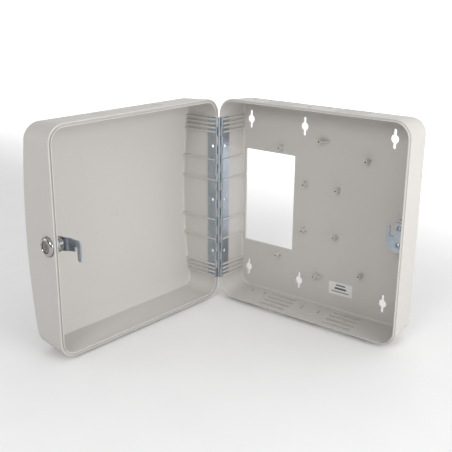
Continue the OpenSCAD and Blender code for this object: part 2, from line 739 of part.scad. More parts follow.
// Hook outline: y towards the strike, z up, with the round hub about the lock's axis
module cam_outline() {
    tip_r = finger_w / 2;
    outer = cam_reach + finger_w;
    neck = cam_reach - strike_clear - strike_t - cam_neck;
    polygon(concat(
        [for (a = [90:9:270]) [cam_hub_r * cos(a), cam_hub_r * sin(a)]],
        [[bend_start, -cam_under], [neck - cam_ramp, -cam_waist], [neck, -cam_heel], [neck, cam_notch],
         [cam_reach, cam_notch]],
        [for (a = [180:15:360]) [cam_reach + tip_r + tip_r * cos(a), tip_r - finger_drop + tip_r * sin(a)]],
        [for (a = [0:9:90])
            [outer - cam_turn_r + cam_turn_r * cos(a), cam_top - cam_turn_r + cam_turn_r * sin(a)]],
        [[bend_start + cam_shoulder, cam_top]]));
}
module lock_cam() {
    outer = cam_reach + finger_w + over;
    hub = cam_hub_s - lock_s;
    arm = hub - cam_step;
    hole = drive_w + 2 * play;
    color(zinc) in_lock() difference() {
        intersection() {
            translate([arm - cam_t - over, 0, 0]) rotate([90, 0, 90])
                linear_extrude(cam_t + cam_step + 2 * over) cam_outline();
            translate([0, 0, -finger_drop - over]) linear_extrude(2 * (finger_drop + over))
                polygon([[hub, -2 * cam_hub_r], [hub, bend_start], [arm, bend_end], [arm, outer],
                         [arm - cam_t, outer], [arm - cam_t, bend_end - bend_lag],
                         [hub - cam_t, bend_start - bend_lag], [hub - cam_t, -2 * cam_hub_r]]);
        }
        translate([hub - cam_t - over, -hole / 2, -hole / 2]) cube([cam_t + 2 * over, hole, hole]);
    }
}
module cam_washer() {
    start = cam_hub_s - lock_s - cam_t - touch - cam_washer_t;
    color(zinc) in_lock() ring_x(start, cam_washer_r, cam_screw_r + 4 * play, cam_washer_t);
}
module cam_screw() {
    start = cam_hub_s - lock_s - cam_t - cam_washer_t - 2 * touch;
    color(zinc) in_lock() {
        translate([start - cam_screw_head, 0, 0]) rotate([0, 90, 0])
            cylinder(r = cam_screw_af / sqrt(3), h = cam_screw_head, $fn = 6);
        rod_x([start - play, 0, 0], cam_screw_r, -barrel_len + cam_screw_deep - start + play);
    }
}

base_shell();
base_hinge_leaf();
hinge_pin();
strike_plate();
strike_screws();
blank_label();
door_shell();
door_hinge_leaf();
lock_barrel();
lock_washer();
lock_nut();
lock_plug();
lock_wafers();
wafer_springs();
lock_cam();
cam_washer();
cam_screw();
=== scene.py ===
"""Looks of a lockable plastic network enclosure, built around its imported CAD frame.

Shell pieces are drawn in millimetres in the shell's own frame (s from the hinge-side rim, v inwards from the
opening plane, z up from mid-height) and placed in metres. Lock pieces are drawn with the plug's axis on +X.
"""

import json
import logging
import math
from dataclasses import dataclass, field
from enum import Enum
from typing import Any, Callable, Sequence

import bmesh
import bpy
from mathutils import Euler, Matrix, Vector

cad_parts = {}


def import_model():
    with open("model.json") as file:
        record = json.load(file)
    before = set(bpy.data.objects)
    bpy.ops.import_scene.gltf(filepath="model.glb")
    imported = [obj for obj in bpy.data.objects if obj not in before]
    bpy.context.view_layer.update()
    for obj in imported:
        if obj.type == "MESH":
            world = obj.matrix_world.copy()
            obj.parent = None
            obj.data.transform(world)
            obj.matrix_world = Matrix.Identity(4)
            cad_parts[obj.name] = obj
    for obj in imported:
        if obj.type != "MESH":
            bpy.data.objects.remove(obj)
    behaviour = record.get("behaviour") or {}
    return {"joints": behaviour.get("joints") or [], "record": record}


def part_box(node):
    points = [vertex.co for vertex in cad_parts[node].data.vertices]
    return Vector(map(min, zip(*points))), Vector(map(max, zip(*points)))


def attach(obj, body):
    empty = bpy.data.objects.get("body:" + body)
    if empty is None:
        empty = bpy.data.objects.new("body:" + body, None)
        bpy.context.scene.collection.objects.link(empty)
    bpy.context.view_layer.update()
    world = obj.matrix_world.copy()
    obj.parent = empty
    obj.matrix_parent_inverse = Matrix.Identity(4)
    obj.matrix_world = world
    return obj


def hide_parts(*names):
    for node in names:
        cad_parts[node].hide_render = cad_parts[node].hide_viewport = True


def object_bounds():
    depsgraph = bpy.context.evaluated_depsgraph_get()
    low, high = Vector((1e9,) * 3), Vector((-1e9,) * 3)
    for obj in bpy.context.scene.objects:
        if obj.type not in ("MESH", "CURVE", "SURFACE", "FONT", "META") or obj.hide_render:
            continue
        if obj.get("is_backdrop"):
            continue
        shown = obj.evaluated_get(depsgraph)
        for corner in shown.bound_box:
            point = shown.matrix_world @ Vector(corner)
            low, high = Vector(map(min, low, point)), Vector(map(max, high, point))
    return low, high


frame: dict[str, Any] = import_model()

logging.basicConfig(level=logging.INFO, format="%(message)s")
LOG = logging.getLogger("enclosure")

MM = 0.001
TAU = 2 * math.pi

# Thickness of the base's back panel, and the door's panel thickness, crown depth and bow radius, in millimetres
BASE_SKIN, DOOR_SKIN, DOOR_CROWN, DOOR_BOW = 3.2, 3.0, 63.5, 720.0

Flat = tuple[float, float]
Ring = list[Vector]
Map = Callable[[float, float, float], Vector]


# --- Small mesh tools ---------------------------------------------------------------------------------------


def make_mesh(name: str, rings: Sequence[Ring], start: str = "fan", end: str = "fan") -> bpy.types.Mesh:
    """Lofts rings of equal length into a closed mesh.

    Args:
        name: name of the mesh.
        rings: rings of points, in order along the loft.
        start: how the first ring is closed: "fan" (one face), "strips" (bands across) or "open".
        end: how the last ring is closed.

    Returns:
        A mesh with merged doubles and outward normals.
    """
    count = len(rings[0])
    points = [p for ring in rings for p in ring]
    faces: list[list[int]] = []
    for r in range(len(rings) - 1):
        for i in range(count):
            j = (i + 1) % count
            faces.append([r * count + i, r * count + j, (r + 1) * count + j, (r + 1) * count + i])
    for first, closing in ((0, start), ((len(rings) - 1) * count, end)):
        if closing == "fan":
            faces.append([first + i for i in range(count)])
        elif closing == "strips":
            half = count // 2
            faces += [[first + i, first + i + 1, first + count - 2 - i, first + count - 1 - i]
                      for i in range(half - 1)]
    mesh = bpy.data.meshes.new(name)
    mesh.from_pydata([tuple(p) for p in points], [], faces)
    return tidy(mesh)


def tidy(mesh: bpy.types.Mesh, merge: float = 1e-4) -> bpy.types.Mesh:
    """Merges doubles, drops degenerate faces and turns the normals outwards.

    Args:
        mesh: the mesh to tidy in place.
        merge: distance under which points are merged.

    Returns:
        The same mesh.
    """
    bm = bmesh.new()
    bm.from_mesh(mesh)
    bmesh.ops.remove_doubles(bm, verts=bm.verts, dist=merge)
    bmesh.ops.dissolve_degenerate(bm, edges=bm.edges, dist=merge)
    bmesh.ops.recalc_face_normals(bm, faces=bm.faces)
    bm.to_mesh(mesh)
    bm.free()
    return mesh


def joined(name: str, meshes: Sequence[bpy.types.Mesh]) -> bpy.types.Mesh:
    """Puts several closed meshes into one mesh.

    Args:
        name: name of the new mesh.
        meshes: the meshes to gather.

    Returns:
        One mesh that holds them all.
    """
    bm = bmesh.new()
    for mesh in meshes:
        bm.from_mesh(mesh)
    whole = bpy.data.meshes.new(name)
    bm.to_mesh(whole)
    bm.free()
    return whole


def inset(outline: Sequence[Flat], by: float) -> list[Flat]:
    """Moves an anticlockwise outline inwards by a distance, or outwards where the distance is negative.

    Args:
        outline: corner points in order.
        by: distance to move each side.

    Returns:
        The moved outline, with as many points.
    """
    out: list[Flat] = []
    count = len(outline)
    for i, (x, y) in enumerate(outline):
        ax, ay = x - outline[i - 1][0], y - outline[i - 1][1]
        bx, by2 = outline[(i + 1) % count][0] - x, outline[(i + 1) % count][1] - y
        la, lb = math.hypot(ax, ay), math.hypot(bx, by2)
        na, nb = (-ay / la, ax / la), (-by2 / lb, bx / lb)
        scale = by / max(0.25, 1 + na[0] * nb[0] + na[1] * nb[1])
        out.append((x + (na[0] + nb[0]) * scale, y + (na[1] + nb[1]) * scale))
    return out


def plate(name: str, outline: Sequence[Flat], low: float, high: float, soft: float, to: Map,
          steps: int = 3) -> bpy.types.Mesh:
    """Thick plate with rounded rims.

    Args:
        name: name of the mesh.
        outline: anticlockwise outline of the plate at its full width.
        low: height of its lower face.
        high: height of its upper face.
        soft: radius of the rounding along both rims.
        to: turns (across, along, height) into a point.
        steps: facets across each rounding.

    Returns:
        A closed mesh.
    """
    stations = []
    for k in range(steps + 1):
        turn = math.pi / 2 * k / steps
        stations.append((low + soft * (1 - math.sin(turn)), soft * (1 - math.cos(turn))))
    stations = stations[::-1] + [(low + high - h, d) for h, d in stations]
    return make_mesh(name, [[to(x, y, h) for x, y in inset(outline, d)] for h, d in stations])


def opening(name: str, outline: Sequence[Flat], low: float, high: float, soft: float, to: Map,
            out: float = 1.0) -> bpy.types.Mesh:
    """Cutter for a hole through a wall, flared where it leaves both faces, so that the hole's rims are rounded.

    Args:
        name: name of the mesh.
        outline: anticlockwise outline of the hole at its narrowest.
        low: height of the wall's lower face.
        high: height of its upper face.
        soft: radius of the rounding at both faces.
        to: turns (across, along, height) into a point.
        out: how far the cutter runs past each face.

    Returns:
        A closed cutter mesh.
    """
    turns = (math.pi / 9, math.pi / 4, math.pi / 2)
    flare = [(soft * (1 - math.cos(a)), soft * (1 - math.sin(a))) for a in turns]
    slope = math.tan(math.pi / 9)
    lower = [(low - out * slope, flare[0][1] + out)] + [(low + h, d) for h, d in flare]
    upper = [(low + high - h, d) for h, d in lower[::-1]]
    return make_mesh(name, [[to(x, y, h) for x, y in inset(outline, -d)] for h, d in lower + upper])


def prism(name: str, outline: Sequence[Flat], low: float, high: float, to: Map) -> bpy.types.Mesh:
    """Straight block with the given outline.

    Args:
        name: name of the mesh.
        outline: its outline.
        low: height of its lower face.
        high: height of its upper face.
        to: turns (across, along, height) into a point.

    Returns:
        A closed mesh.
    """
    return make_mesh(name, [[to(x, y, h) for x, y in outline] for h in (low, high)])


def rod(name: str, r: float, start: float, end: float, to: Map, turns: int) -> bpy.types.Mesh:
    """Plain round rod.

    Args:
        name: name of the mesh.
        r: its radius.
        start: height of its first end.
        end: height of its other end.
        to: turns (across, along, height) into a point.
        turns: facets round the axis.

    Returns:
        A closed mesh.
    """
    return lathe(name, [(start, 0.0), (start, r), (end, r), (end, 0.0)], to, turns)


def block(name: str, low: Sequence[float], high: Sequence[float]) -> bpy.types.Mesh:
    """Plain block between two corners.

    Args:
        name: name of the mesh.
        low: its lowest corner.
        high: its highest corner.

    Returns:
        A closed mesh.
    """
    square = ((low[0], low[1]), (high[0], low[1]), (high[0], high[1]), (low[0], high[1]))
    return prism(name, square, low[2], high[2], STRAIGHT)


def lathe(name: str, profile: Sequence[Flat], to: Map, turns: int = 64) -> bpy.types.Mesh:
    """Turns a closed profile about an axis.

    Args:
        name: name of the mesh.
        profile: points (height, radius) in order round the section; those on the axis have radius 0.
        to: turns (across, along, height) into a point.
        turns: facets round the axis.

    Returns:
        A closed mesh.
    """
    closed = all(radius > 0 for _, radius in profile)
    rings = []
    for k in range(turns):
        a = TAU * k / turns
        rings.append([to(r * math.cos(a), r * math.sin(a), h) for h, r in profile])
    count = len(profile)
    points = [p for ring in rings for p in ring]
    faces = []
    for k in range(turns):
        n = (k + 1) % turns
        for i in range(count if closed else count - 1):
            j = (i + 1) % count
            faces.append([k * count + i, k * count + j, n * count + j, n * count + i])
    mesh = bpy.data.meshes.new(name)
    mesh.from_pydata([tuple(p) for p in points], [], faces)
    return tidy(mesh)


def arc(cx: float, cy: float, r: float, a0: float, a1: float, steps: int) -> list[Flat]:
    """Points along an arc.

    Args:
        cx: centre across.
        cy: centre along.
        r: radius.
        a0: first angle in degrees.
        a1: last angle in degrees.
        steps: number of facets.

    Returns:
        steps + 1 points.
    """
    angles = [math.radians(a0 + (a1 - a0) * k / steps) for k in range(steps + 1)]
    return [(cx + r * math.cos(a), cy + r * math.sin(a)) for a in angles]


def circle(r: float, steps: int = 48) -> list[Flat]:
    """Outline of a circle about the origin.

    Args:
        r: radius.
        steps: number of corners.

    Returns:
        Its corners, anticlockwise.
    """
    return arc(0, 0, r, 0, 360 - 360 / steps, steps - 1)


def rounded_box(w: float, h: float, r: float, steps: int = 6) -> list[Flat]:
    """Outline of a rectangle about the origin with rounded corners.

    Args:
        w: width.
        h: height.
        r: radius of the corners.
        steps: facets across each corner.

    Returns:
        Its corners, anticlockwise.
    """
    return (arc(w / 2 - r, h / 2 - r, r, 0, 90, steps) + arc(-w / 2 + r, h / 2 - r, r, 90, 180, steps)
            + arc(-w / 2 + r, -h / 2 + r, r, 180, 270, steps) + arc(w / 2 - r, -h / 2 + r, r, 270, 360, steps))


def frame_map(origin: Sequence[float], across: Sequence[float], along: Sequence[float],
              height: Sequence[float]) -> Map:
    """A map from (across, along, height) to points, from an origin and three directions.

    Args:
        origin: the point that (0, 0, 0) goes to.
        across: first direction.
        along: second direction.
        height: third direction.

    Returns:
        The map.
    """
    o, a, b, c = Vector(origin), Vector(across), Vector(along), Vector(height)
    return lambda x, y, h: o + a * x + b * y + c * h


STRAIGHT = frame_map((0, 0, 0), (1, 0, 0), (0, 1, 0), (0, 0, 1))


# --- Objects, booleans and finishing ------------------------------------------------------------------------


def add_object(name: str, mesh: bpy.types.Mesh) -> bpy.types.Object:
    """Links a new object with this mesh to the scene.

    Args:
        name: name of the object.
        mesh: its mesh.

    Returns:
        The new object.
    """
    piece = bpy.data.objects.new(name, mesh)
    bpy.context.scene.collection.objects.link(piece)
    return piece


def evaluated(piece: bpy.types.Object, name: str) -> bpy.types.Mesh:
    """The plain mesh that an object's modifiers make; the object is removed afterwards.

    Args:
        piece: the object to evaluate.
        name: name of the new mesh.

    Returns:
        The plain mesh.
    """
    bpy.context.view_layer.update()
    graph = bpy.context.evaluated_depsgraph_get()
    mesh = bpy.data.meshes.new_from_object(piece.evaluated_get(graph), preserve_all_data_layers=True,
                                           depsgraph=graph)
    mesh.name = name
    bpy.data.objects.remove(piece)
    return mesh


class Step(Enum):
    """What a boolean step does with its tools."""

    ADD = "UNION"
    CUT = "DIFFERENCE"
    KEEP = "INTERSECT"


def carve(name: str, mesh: bpy.types.Mesh,
          steps: Sequence[tuple[Step, Sequence[bpy.types.Mesh]]]) -> bpy.types.Mesh:
    """Adds and cuts closed meshes in order; the meshes of one step don't overlap each other.

    Args:
        name: name of the result.
        mesh: the body to work on.
        steps: pairs of a step and the meshes it uses.

    Returns:
        The carved mesh, tidied.
    """
    for number, (step, tools) in enumerate(steps):
        body = add_object(f"{name}_work", mesh)
        tool = add_object(f"{name}_tool_{number}", joined(f"{name}_tools", tools))
        cut = body.modifiers.new("carve", "BOOLEAN")
        cut.operation, cut.solver, cut.object = step.value, "EXACT", tool
        mesh = evaluated(body, name)
        bpy.data.objects.remove(tool)
    bm = bmesh.new()
    bm.from_mesh(mesh)
    bmesh.ops.remove_doubles(bm, verts=bm.verts, dist=2e-3)
    bmesh.ops.dissolve_degenerate(bm, edges=bm.edges, dist=2e-3)
    bm.to_mesh(mesh)
    bm.free()
    return mesh


@dataclass(frozen=True)
class Seat:
    """A body of the frame and the matrix that places drawn millimetres on it."""

    body: str
    matrix: Matrix

    def put(self, name: str, mesh: bpy.types.Mesh, finish: "Finish", slot: str, replaces: Sequence[str] = (),
            smooth: float = 33.0) -> bpy.types.Object:
        """Places a finished piece on its body.

        Args:
            name: name of the piece.
            mesh: its mesh, in the seat's own frame and in millimetres.
            finish: the finish it is dressed with.
            slot: the record's material slot; not used.
            replaces: CAD nodes that it stands for.
            smooth: angle in degrees under which faces are shaded as one surface.

        Returns:
            The new object.
        """
        mesh.transform(self.matrix)
        if self.matrix.determinant() < 0:
            mesh.flip_normals()
        mesh.shade_smooth()
        mesh.set_sharp_from_angle(angle=math.radians(smooth))
        mesh.materials.clear()
        mesh.materials.append(finish.material())
        work = add_object(f"{name}_work", mesh)
        weigh = work.modifiers.new("weigh", "WEIGHTED_NORMAL")
        weigh.mode, weigh.weight, weigh.keep_sharp = "FACE_AREA_WITH_ANGLE", 80, True
        piece = add_object(name, evaluated(work, name))
        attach(piece, self.body)
        if replaces:
            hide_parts(*replaces)
        LOG.info("%-22s %6d faces on %s", name, len(piece.data.polygons), self.body)
        return piece


class Rows:
    """Geometry Nodes that repeat a drawn item along a line."""

    def __init__(self) -> None:
        """Builds the node tree with its named inputs."""
        tree = bpy.data.node_groups.new("row_of_items", "GeometryNodeTree")
        sockets = tree.interface
        sockets.new_socket("Item", in_out="INPUT", socket_type="NodeSocketGeometry")
        for name, kind in (("Count", "NodeSocketInt"), ("Start", "NodeSocketVector"),
                           ("Step", "NodeSocketVector"), ("Finish", "NodeSocketMaterial")):
            sockets.new_socket(name, in_out="INPUT", socket_type=kind)
        sockets.new_socket("Row", in_out="OUTPUT", socket_type="NodeSocketGeometry")
        given, made = tree.nodes.new("NodeGroupInput"), tree.nodes.new("NodeGroupOutput")
        line = tree.nodes.new("GeometryNodeMeshLine")
        line.mode = "OFFSET"
        place = tree.nodes.new("GeometryNodeInstanceOnPoints")
        real = tree.nodes.new("GeometryNodeRealizeInstances")
        dress = tree.nodes.new("GeometryNodeSetMaterial")
        for source, target in (
            (given.outputs["Count"], line.inputs["Count"]),
            (given.outputs["Start"], line.inputs["Start Location"]),
            (given.outputs["Step"], line.inputs["Offset"]),
            (line.outputs["Mesh"], place.inputs["Points"]),
            (given.outputs["Item"], place.inputs["Instance"]),
            (place.outputs["Instances"], real.inputs["Geometry"]),
            (real.outputs["Geometry"], dress.inputs["Geometry"]),
            (given.outputs["Finish"], dress.inputs["Material"]),
            (dress.outputs["Geometry"], made.inputs["Row"]),
        ):
            tree.links.new(source, target)
        self.tree = tree
        self.keys = {s.name: s.identifier for s in tree.interface.items_tree if s.in_out == "INPUT"}

    def repeat(self, item: bpy.types.Mesh, count: int, start: Sequence[float], step: Sequence[float],
               finish: "Finish | None" = None) -> bpy.types.Mesh:
        """Repeats an item along a line.

        Args:
            item: the mesh to repeat.
            count: number of copies.
            start: place of the first copy.
            step: offset from one copy to the next.
            finish: finish to set on the copies.

        Returns:
            One plain mesh that holds the copies.
        """
        work = add_object(f"{item.name}_row", item)
        row = work.modifiers.new("row", "NODES")
        row.node_group = self.tree
        row[self.keys["Count"]] = count
        row[self.keys["Start"]] = tuple(float(x) for x in start)
        row[self.keys["Step"]] = tuple(float(x) for x in step)
        if finish is not None:
            row[self.keys["Finish"]] = finish.material()
        return evaluated(work, item.name)


class Coils:
    """Geometry Nodes that wind a wire into a coil spring."""

    def __init__(self) -> None:
        """Builds the node tree with its named inputs."""
        tree = bpy.data.node_groups.new("wound_spring", "GeometryNodeTree")
        sockets = tree.interface
        sockets.new_socket("Unused", in_out="INPUT", socket_type="NodeSocketGeometry")
        for name, kind in (("Turns", "NodeSocketFloat"), ("Coil Radius", "NodeSocketFloat"),
                           ("Length", "NodeSocketFloat"), ("Wire Radius", "NodeSocketFloat"),
                           ("Finish", "NodeSocketMaterial")):
            sockets.new_socket(name, in_out="INPUT", socket_type=kind)
        sockets.new_socket("Spring", in_out="OUTPUT", socket_type="NodeSocketGeometry")
        given, made = tree.nodes.new("NodeGroupInput"), tree.nodes.new("NodeGroupOutput")
        spiral = tree.nodes.new("GeometryNodeCurveSpiral")
        spiral.inputs["Resolution"].default_value = 14
        wire = tree.nodes.new("GeometryNodeCurvePrimitiveCircle")
        wire.inputs["Resolution"].default_value = 6
        sweep = tree.nodes.new("GeometryNodeCurveToMesh")
        sweep.inputs["Fill Caps"].default_value = True
        real = tree.nodes.new("GeometryNodeRealizeInstances")
        dress = tree.nodes.new("GeometryNodeSetMaterial")
        for source, target in (
            (given.outputs["Turns"], spiral.inputs["Rotations"]),
            (given.outputs["Coil Radius"], spiral.inputs["Start Radius"]),
            (given.outputs["Coil Radius"], spiral.inputs["End Radius"]),
            (given.outputs["Length"], spiral.inputs["Height"]),
            (given.outputs["Wire Radius"], wire.inputs["Radius"]),
            (spiral.outputs["Curve"], sweep.inputs["Curve"]),
            (wire.outputs["Curve"], sweep.inputs["Profile Curve"]),
            (sweep.outputs["Mesh"], real.inputs["Geometry"]),
            (real.outputs["Geometry"], dress.inputs["Geometry"]),
            (given.outputs["Finish"], dress.inputs["Material"]),
            (dress.outputs["Geometry"], made.inputs["Spring"]),
        ):
            tree.links.new(source, target)
        self.tree = tree
        self.keys = {s.name: s.identifier for s in tree.interface.items_tree if s.in_out == "INPUT"}

    def wind(self, name: str, turns: float, radius: float, length: float, wire: float,
             finish: "Finish") -> bpy.types.Mesh:
        """Winds one spring along +Z from the origin.

        Args:
            name: name of the mesh.
            turns: number of turns.
            radius: radius of the coil's centreline.
            length: height of the coil.
            wire: radius of the wire.
            finish: finish of the wire.

        Returns:
            The spring as a plain mesh.
        """
        work = add_object(name, bpy.data.meshes.new(name))
        coil = work.modifiers.new("coil", "NODES")
        coil.node_group = self.tree
        sizes = {"Turns": turns, "Coil Radius": radius, "Length": length, "Wire Radius": wire}
        for key, value in sizes.items():
            coil[self.keys[key]] = float(value)
        coil[self.keys["Finish"]] = finish.material()
        return evaluated(work, name)


# --- Finishes -----------------------------------------------------------------------------------------------


class Value:
    """A shader socket that can be used in Python arithmetic."""

    def __init__(self, shader: "Shader", socket: bpy.types.NodeSocket) -> None:
        """Wraps an output socket of a shader.

        Args:
            shader: the shader that holds the socket.
            socket: the output socket.
        """
        self.shader, self.socket = shader, socket

    def _math(self, operation: str, first: Any, second: Any, clamp: bool = False) -> "Value":
        """One Math node on two values or numbers.

        Args:
            operation: the node's operation.
            first: first value or number.
            second: second value or number.
            clamp: whether to limit the result to 0 to 1.

        Returns:
            The result.
        """
        return self.shader.node("ShaderNodeMath", {"operation": operation, "use_clamp": clamp},
                                {0: first, 1: second})

    def __add__(self, other: Any) -> "Value":
        """Sum.

        Args:
            other: value or number on the other side.

        Returns:
            The sum.
        """
        return self._math("ADD", self, other)

    __radd__ = __add__

    def __sub__(self, other: Any) -> "Value":
        """Difference.

        Args:
            other: value or number on the other side.

        Returns:
            This value less the other.
        """
        return self._math("SUBTRACT", self, other)

    def __rsub__(self, other: Any) -> "Value":
        """Difference from a number.

        Args:
            other: value or number on the other side.

        Returns:
            The other less this value.
        """
        return self._math("SUBTRACT", other, self)

    def __mul__(self, other: Any) -> "Value":
        """Product.

        Args:
            other: value or number on the other side.

        Returns:
            The product.
        """
        return self._math("MULTIPLY", self, other)

    __rmul__ = __mul__

    def above(self, edge: float, width: float) -> "Value":
        """0 below edge, 1 above edge + width, and smooth between.

        Args:
            edge: where it starts to rise.
            width: how far it takes to rise.

        Returns:
            A value from 0 to 1.
        """
        return self.shader.node("ShaderNodeMapRange", {"interpolation_type": "SMOOTHSTEP"},
                                {0: self, 1: edge, 2: edge + width, 3: 0.0, 4: 1.0})

    def distance(self, middle: float) -> "Value":
        """How far the value is from a number.

        Args:
            middle: the number to measure from.

        Returns:
            A value that is never negative.
        """
        return self._math("ABSOLUTE", self - middle, 0.0)

    def clamped(self) -> "Value":
        """Limited to 0 to 1.

        Returns:
            The limited value.
        """
        return self._math("ADD", self, 0.0, clamp=True)


class Shader:
    """Builds the nodes of one material around a Principled shader."""

    def __init__(self, name: str) -> None:
        """Starts an empty material.

        Args:
            name: name of the material.
        """
        self.material = bpy.data.materials.new(name)
        self.material.use_nodes = True
        self.tree = self.material.node_tree
        self.tree.nodes.clear()
        self.out = self.tree.nodes.new("ShaderNodeOutputMaterial")
        self.main = self.tree.nodes.new("ShaderNodeBsdfPrincipled")
        self.tree.links.new(self.main.outputs[0], self.out.inputs[0])

    def node(self, kind: str, settings: dict[str, Any] | None = None, sockets: dict[Any, Any] | None = None,
             output: Any = 0) -> Value:
        """Adds a node.

        Args:
            kind: Blender's name of the node type.
            settings: the node's own settings, and "stops" for a ramp.
            sockets: values or links of its input sockets.
            output: which output to return.

        Returns:
            The chosen output as a value.
        """
        node = self.tree.nodes.new(kind)
        for key, value in (settings or {}).items():
            if key == "stops":
                while len(node.color_ramp.elements) < len(value):
                    node.color_ramp.elements.new(0.5)
                for element, (place, colour) in zip(node.color_ramp.elements, value):
                    element.position, element.color = place, (*colour, 1.0)
            else:
                setattr(node, key, value)
        for key, value in (sockets or {}).items():
            if isinstance(value, Value):
                self.tree.links.new(value.socket, node.inputs[key])
            else:
                node.inputs[key].default_value = value
        return Value(self, node.outputs[output])

    def place(self, scale: Sequence[float] = (1, 1, 1), turn: float = 0.0) -> Value:
        """Object coordinates, scaled and turned about Z.

        Args:
            scale: scale along each axis.
            turn: turn about Z in degrees.

        Returns:
            A vector.
        """
        where = self.node("ShaderNodeTexCoord", output="Object")
        turned = Euler((0, 0, math.radians(turn)))
        return self.node("ShaderNodeMapping", {"vector_type": "POINT"},
                         {"Vector": where, "Scale": tuple(scale), "Rotation": turned})

    def noise(self, where: Value, scale: float, detail: float = 2.0, rough: float = 0.5) -> Value:
        """Noise from 0 to 1, at a number of features per metre.

        Args:
            where: coordinates.
            scale: features per metre.
            detail: number of octaves.
            rough: weight of the finer octaves.

        Returns:
            A value.
        """
        return self.node("ShaderNodeTexNoise", {"noise_dimensions": "3D"},
                         {"Vector": where, "Scale": scale, "Detail": detail, "Roughness": rough})

    def blend(self, share: Any, first: Sequence[float] | Value, second: Sequence[float] | Value) -> Value:
        """Colour between two colours.

        Args:
            share: share of the second colour.
            first: first colour.
            second: second colour.

        Returns:
            A colour.
        """
        pair = [c if isinstance(c, Value) else (*c, 1.0) for c in (first, second)]
        return self.node("ShaderNodeMix", {"data_type": "RGBA"}, {0: share, 6: pair[0], 7: pair[1]}, output=2)

    def bump(self, height: Value, distance: float, strength: float = 1.0) -> Value:
        """Normal from a height, with its distance in metres.

        Args:
            height: height from 0 to 1.
            distance: metres that a height of 1 stands for.
            strength: strength of the effect.

        Returns:
            A normal.
        """
        return self.node("ShaderNodeBump", {}, {"Height": height, "Distance": distance, "Strength": strength})

    def set(self, **inputs: Any) -> None:
        """Sets or links inputs of the Principled shader; underscores in names stand for spaces.

        Args:
            inputs: values or links by input name.
        """
        for key, value in inputs.items():
            socket = self.main.inputs[key.replace("_", " ")]
            if isinstance(value, Value):
                self.tree.links.new(value.socket, socket)
            else:
                plain = isinstance(value, tuple) and len(value) == 3
                socket.default_value = (*value, 1.0) if plain else value


@dataclass(frozen=True)
class Finish:
    """A finish that makes its material once."""

    name: str
    colour: tuple[float, float, float]
    rough: float = 0.5

    def material(self) -> bpy.types.Material:
        """The material of this finish, made when it is first asked for.

        Returns:
            The material.
        """
        found = bpy.data.materials.get(self.name)
        return found if found is not None else self.build(Shader(self.name))

    def build(self, shader: Shader) -> bpy.types.Material:
        """Makes the nodes; each kind of finish has its own.

        Args:
            shader: the empty shader to fill.

        Returns:
            The finished material.
        """
        raise NotImplementedError


@dataclass(frozen=True)
class MouldedPlastic(Finish):
    """Satin ABS moulding with a fine spark-eroded grain, faint flow marks and slightly shinier handled spots."""

    tint: tuple[float, float, float] = (0.50, 0.482, 0.458)
    grain: float = 900.0
    grain_depth: float = 0.00006

    def build(self, shader: Shader) -> bpy.types.Material:
        """Makes the plastic's nodes.

        Args:
            shader: the empty shader to fill.

        Returns:
            The finished material.
        """
        where = shader.place()
        grain = shader.noise(where, self.grain, 3.0, 0.6)
        coarse = shader.noise(where, 210.0, 2.0)
        flow = shader.noise(shader.place((1.0, 1.0, 0.25), 12.0), 9.0, 3.0, 0.55)
        scuffs = shader.noise(where, 38.0, 4.0, 0.65).above(0.60, 0.16)
        shade = (flow * 0.55 + coarse * 0.3 + grain * 0.15).clamped()
        shader.set(
            Base_Color=shader.blend(shade, self.tint, self.colour),
            Roughness=self.rough + grain * 0.10 - scuffs * 0.07 + (flow - 0.5) * 0.08,
            Normal=shader.bump(grain + coarse * 0.5, self.grain_depth, 0.6),
            IOR=1.52,
        )
        return shader.material


@dataclass(frozen=True)
class ZincPlate(Finish):
    """Bright zinc plating on rolled sheet or turned steel: bluish, with rolling lines and cloudy passivation."""

    cloud: tuple[float, float, float] = (0.36, 0.41, 0.46)
    lines: tuple[float, float, float] = (900.0, 900.0, 40.0)

    def build(self, shader: Shader) -> bpy.types.Material:
        """Makes the plating's nodes.

        Args:
            shader: the empty shader to fill.

        Returns:
            The finished material.
        """
        where = shader.place()
        clouds = shader.noise(where, 70.0, 4.0, 0.6)
        rolled = shader.noise(shader.place(self.lines), 1.0, 2.0)
        spangle = shader.noise(where, 420.0, 2.0)
        shade = (clouds * 0.7 + spangle * 0.3).above(0.35, 0.3)
        shader.set(
            Base_Color=shader.blend(shade, self.cloud, self.colour),
            Roughness=self.rough + (clouds - 0.5) * 0.25 + (rolled - 0.5) * 0.12,
            Metallic=1.0,
            Normal=shader.bump(rolled + spangle * 0.6, 0.00003, 0.5),
        )
        return shader.material


@dataclass(frozen=True)
class Polished(Finish):
    """Polished plating with the faintest orange peel and fine wear."""

    worn: tuple[float, float, float] = (0.45, 0.42, 0.41)
    wear: float = 0.25

    def build(self, shader: Shader) -> bpy.types.Material:
        """Makes the polished plating's nodes.

        Args:
            shader: the empty shader to fill.

        Returns:
            The finished material.
        """
        where = shader.place()
        peel = shader.noise(where, 260.0, 2.0)
        fine = shader.noise(where, 1900.0, 3.0, 0.65)
        marks = fine.above(0.62, 0.12) * self.wear
        shader.set(
            Base_Color=shader.blend(marks, self.colour, self.worn),
            Roughness=self.rough + marks * 0.3 + (peel - 0.5) * 0.04,
            Metallic=1.0,
            Normal=shader.bump(peel * 0.7 + fine * 0.3, 0.00002, 0.35),
        )
        return shader.material


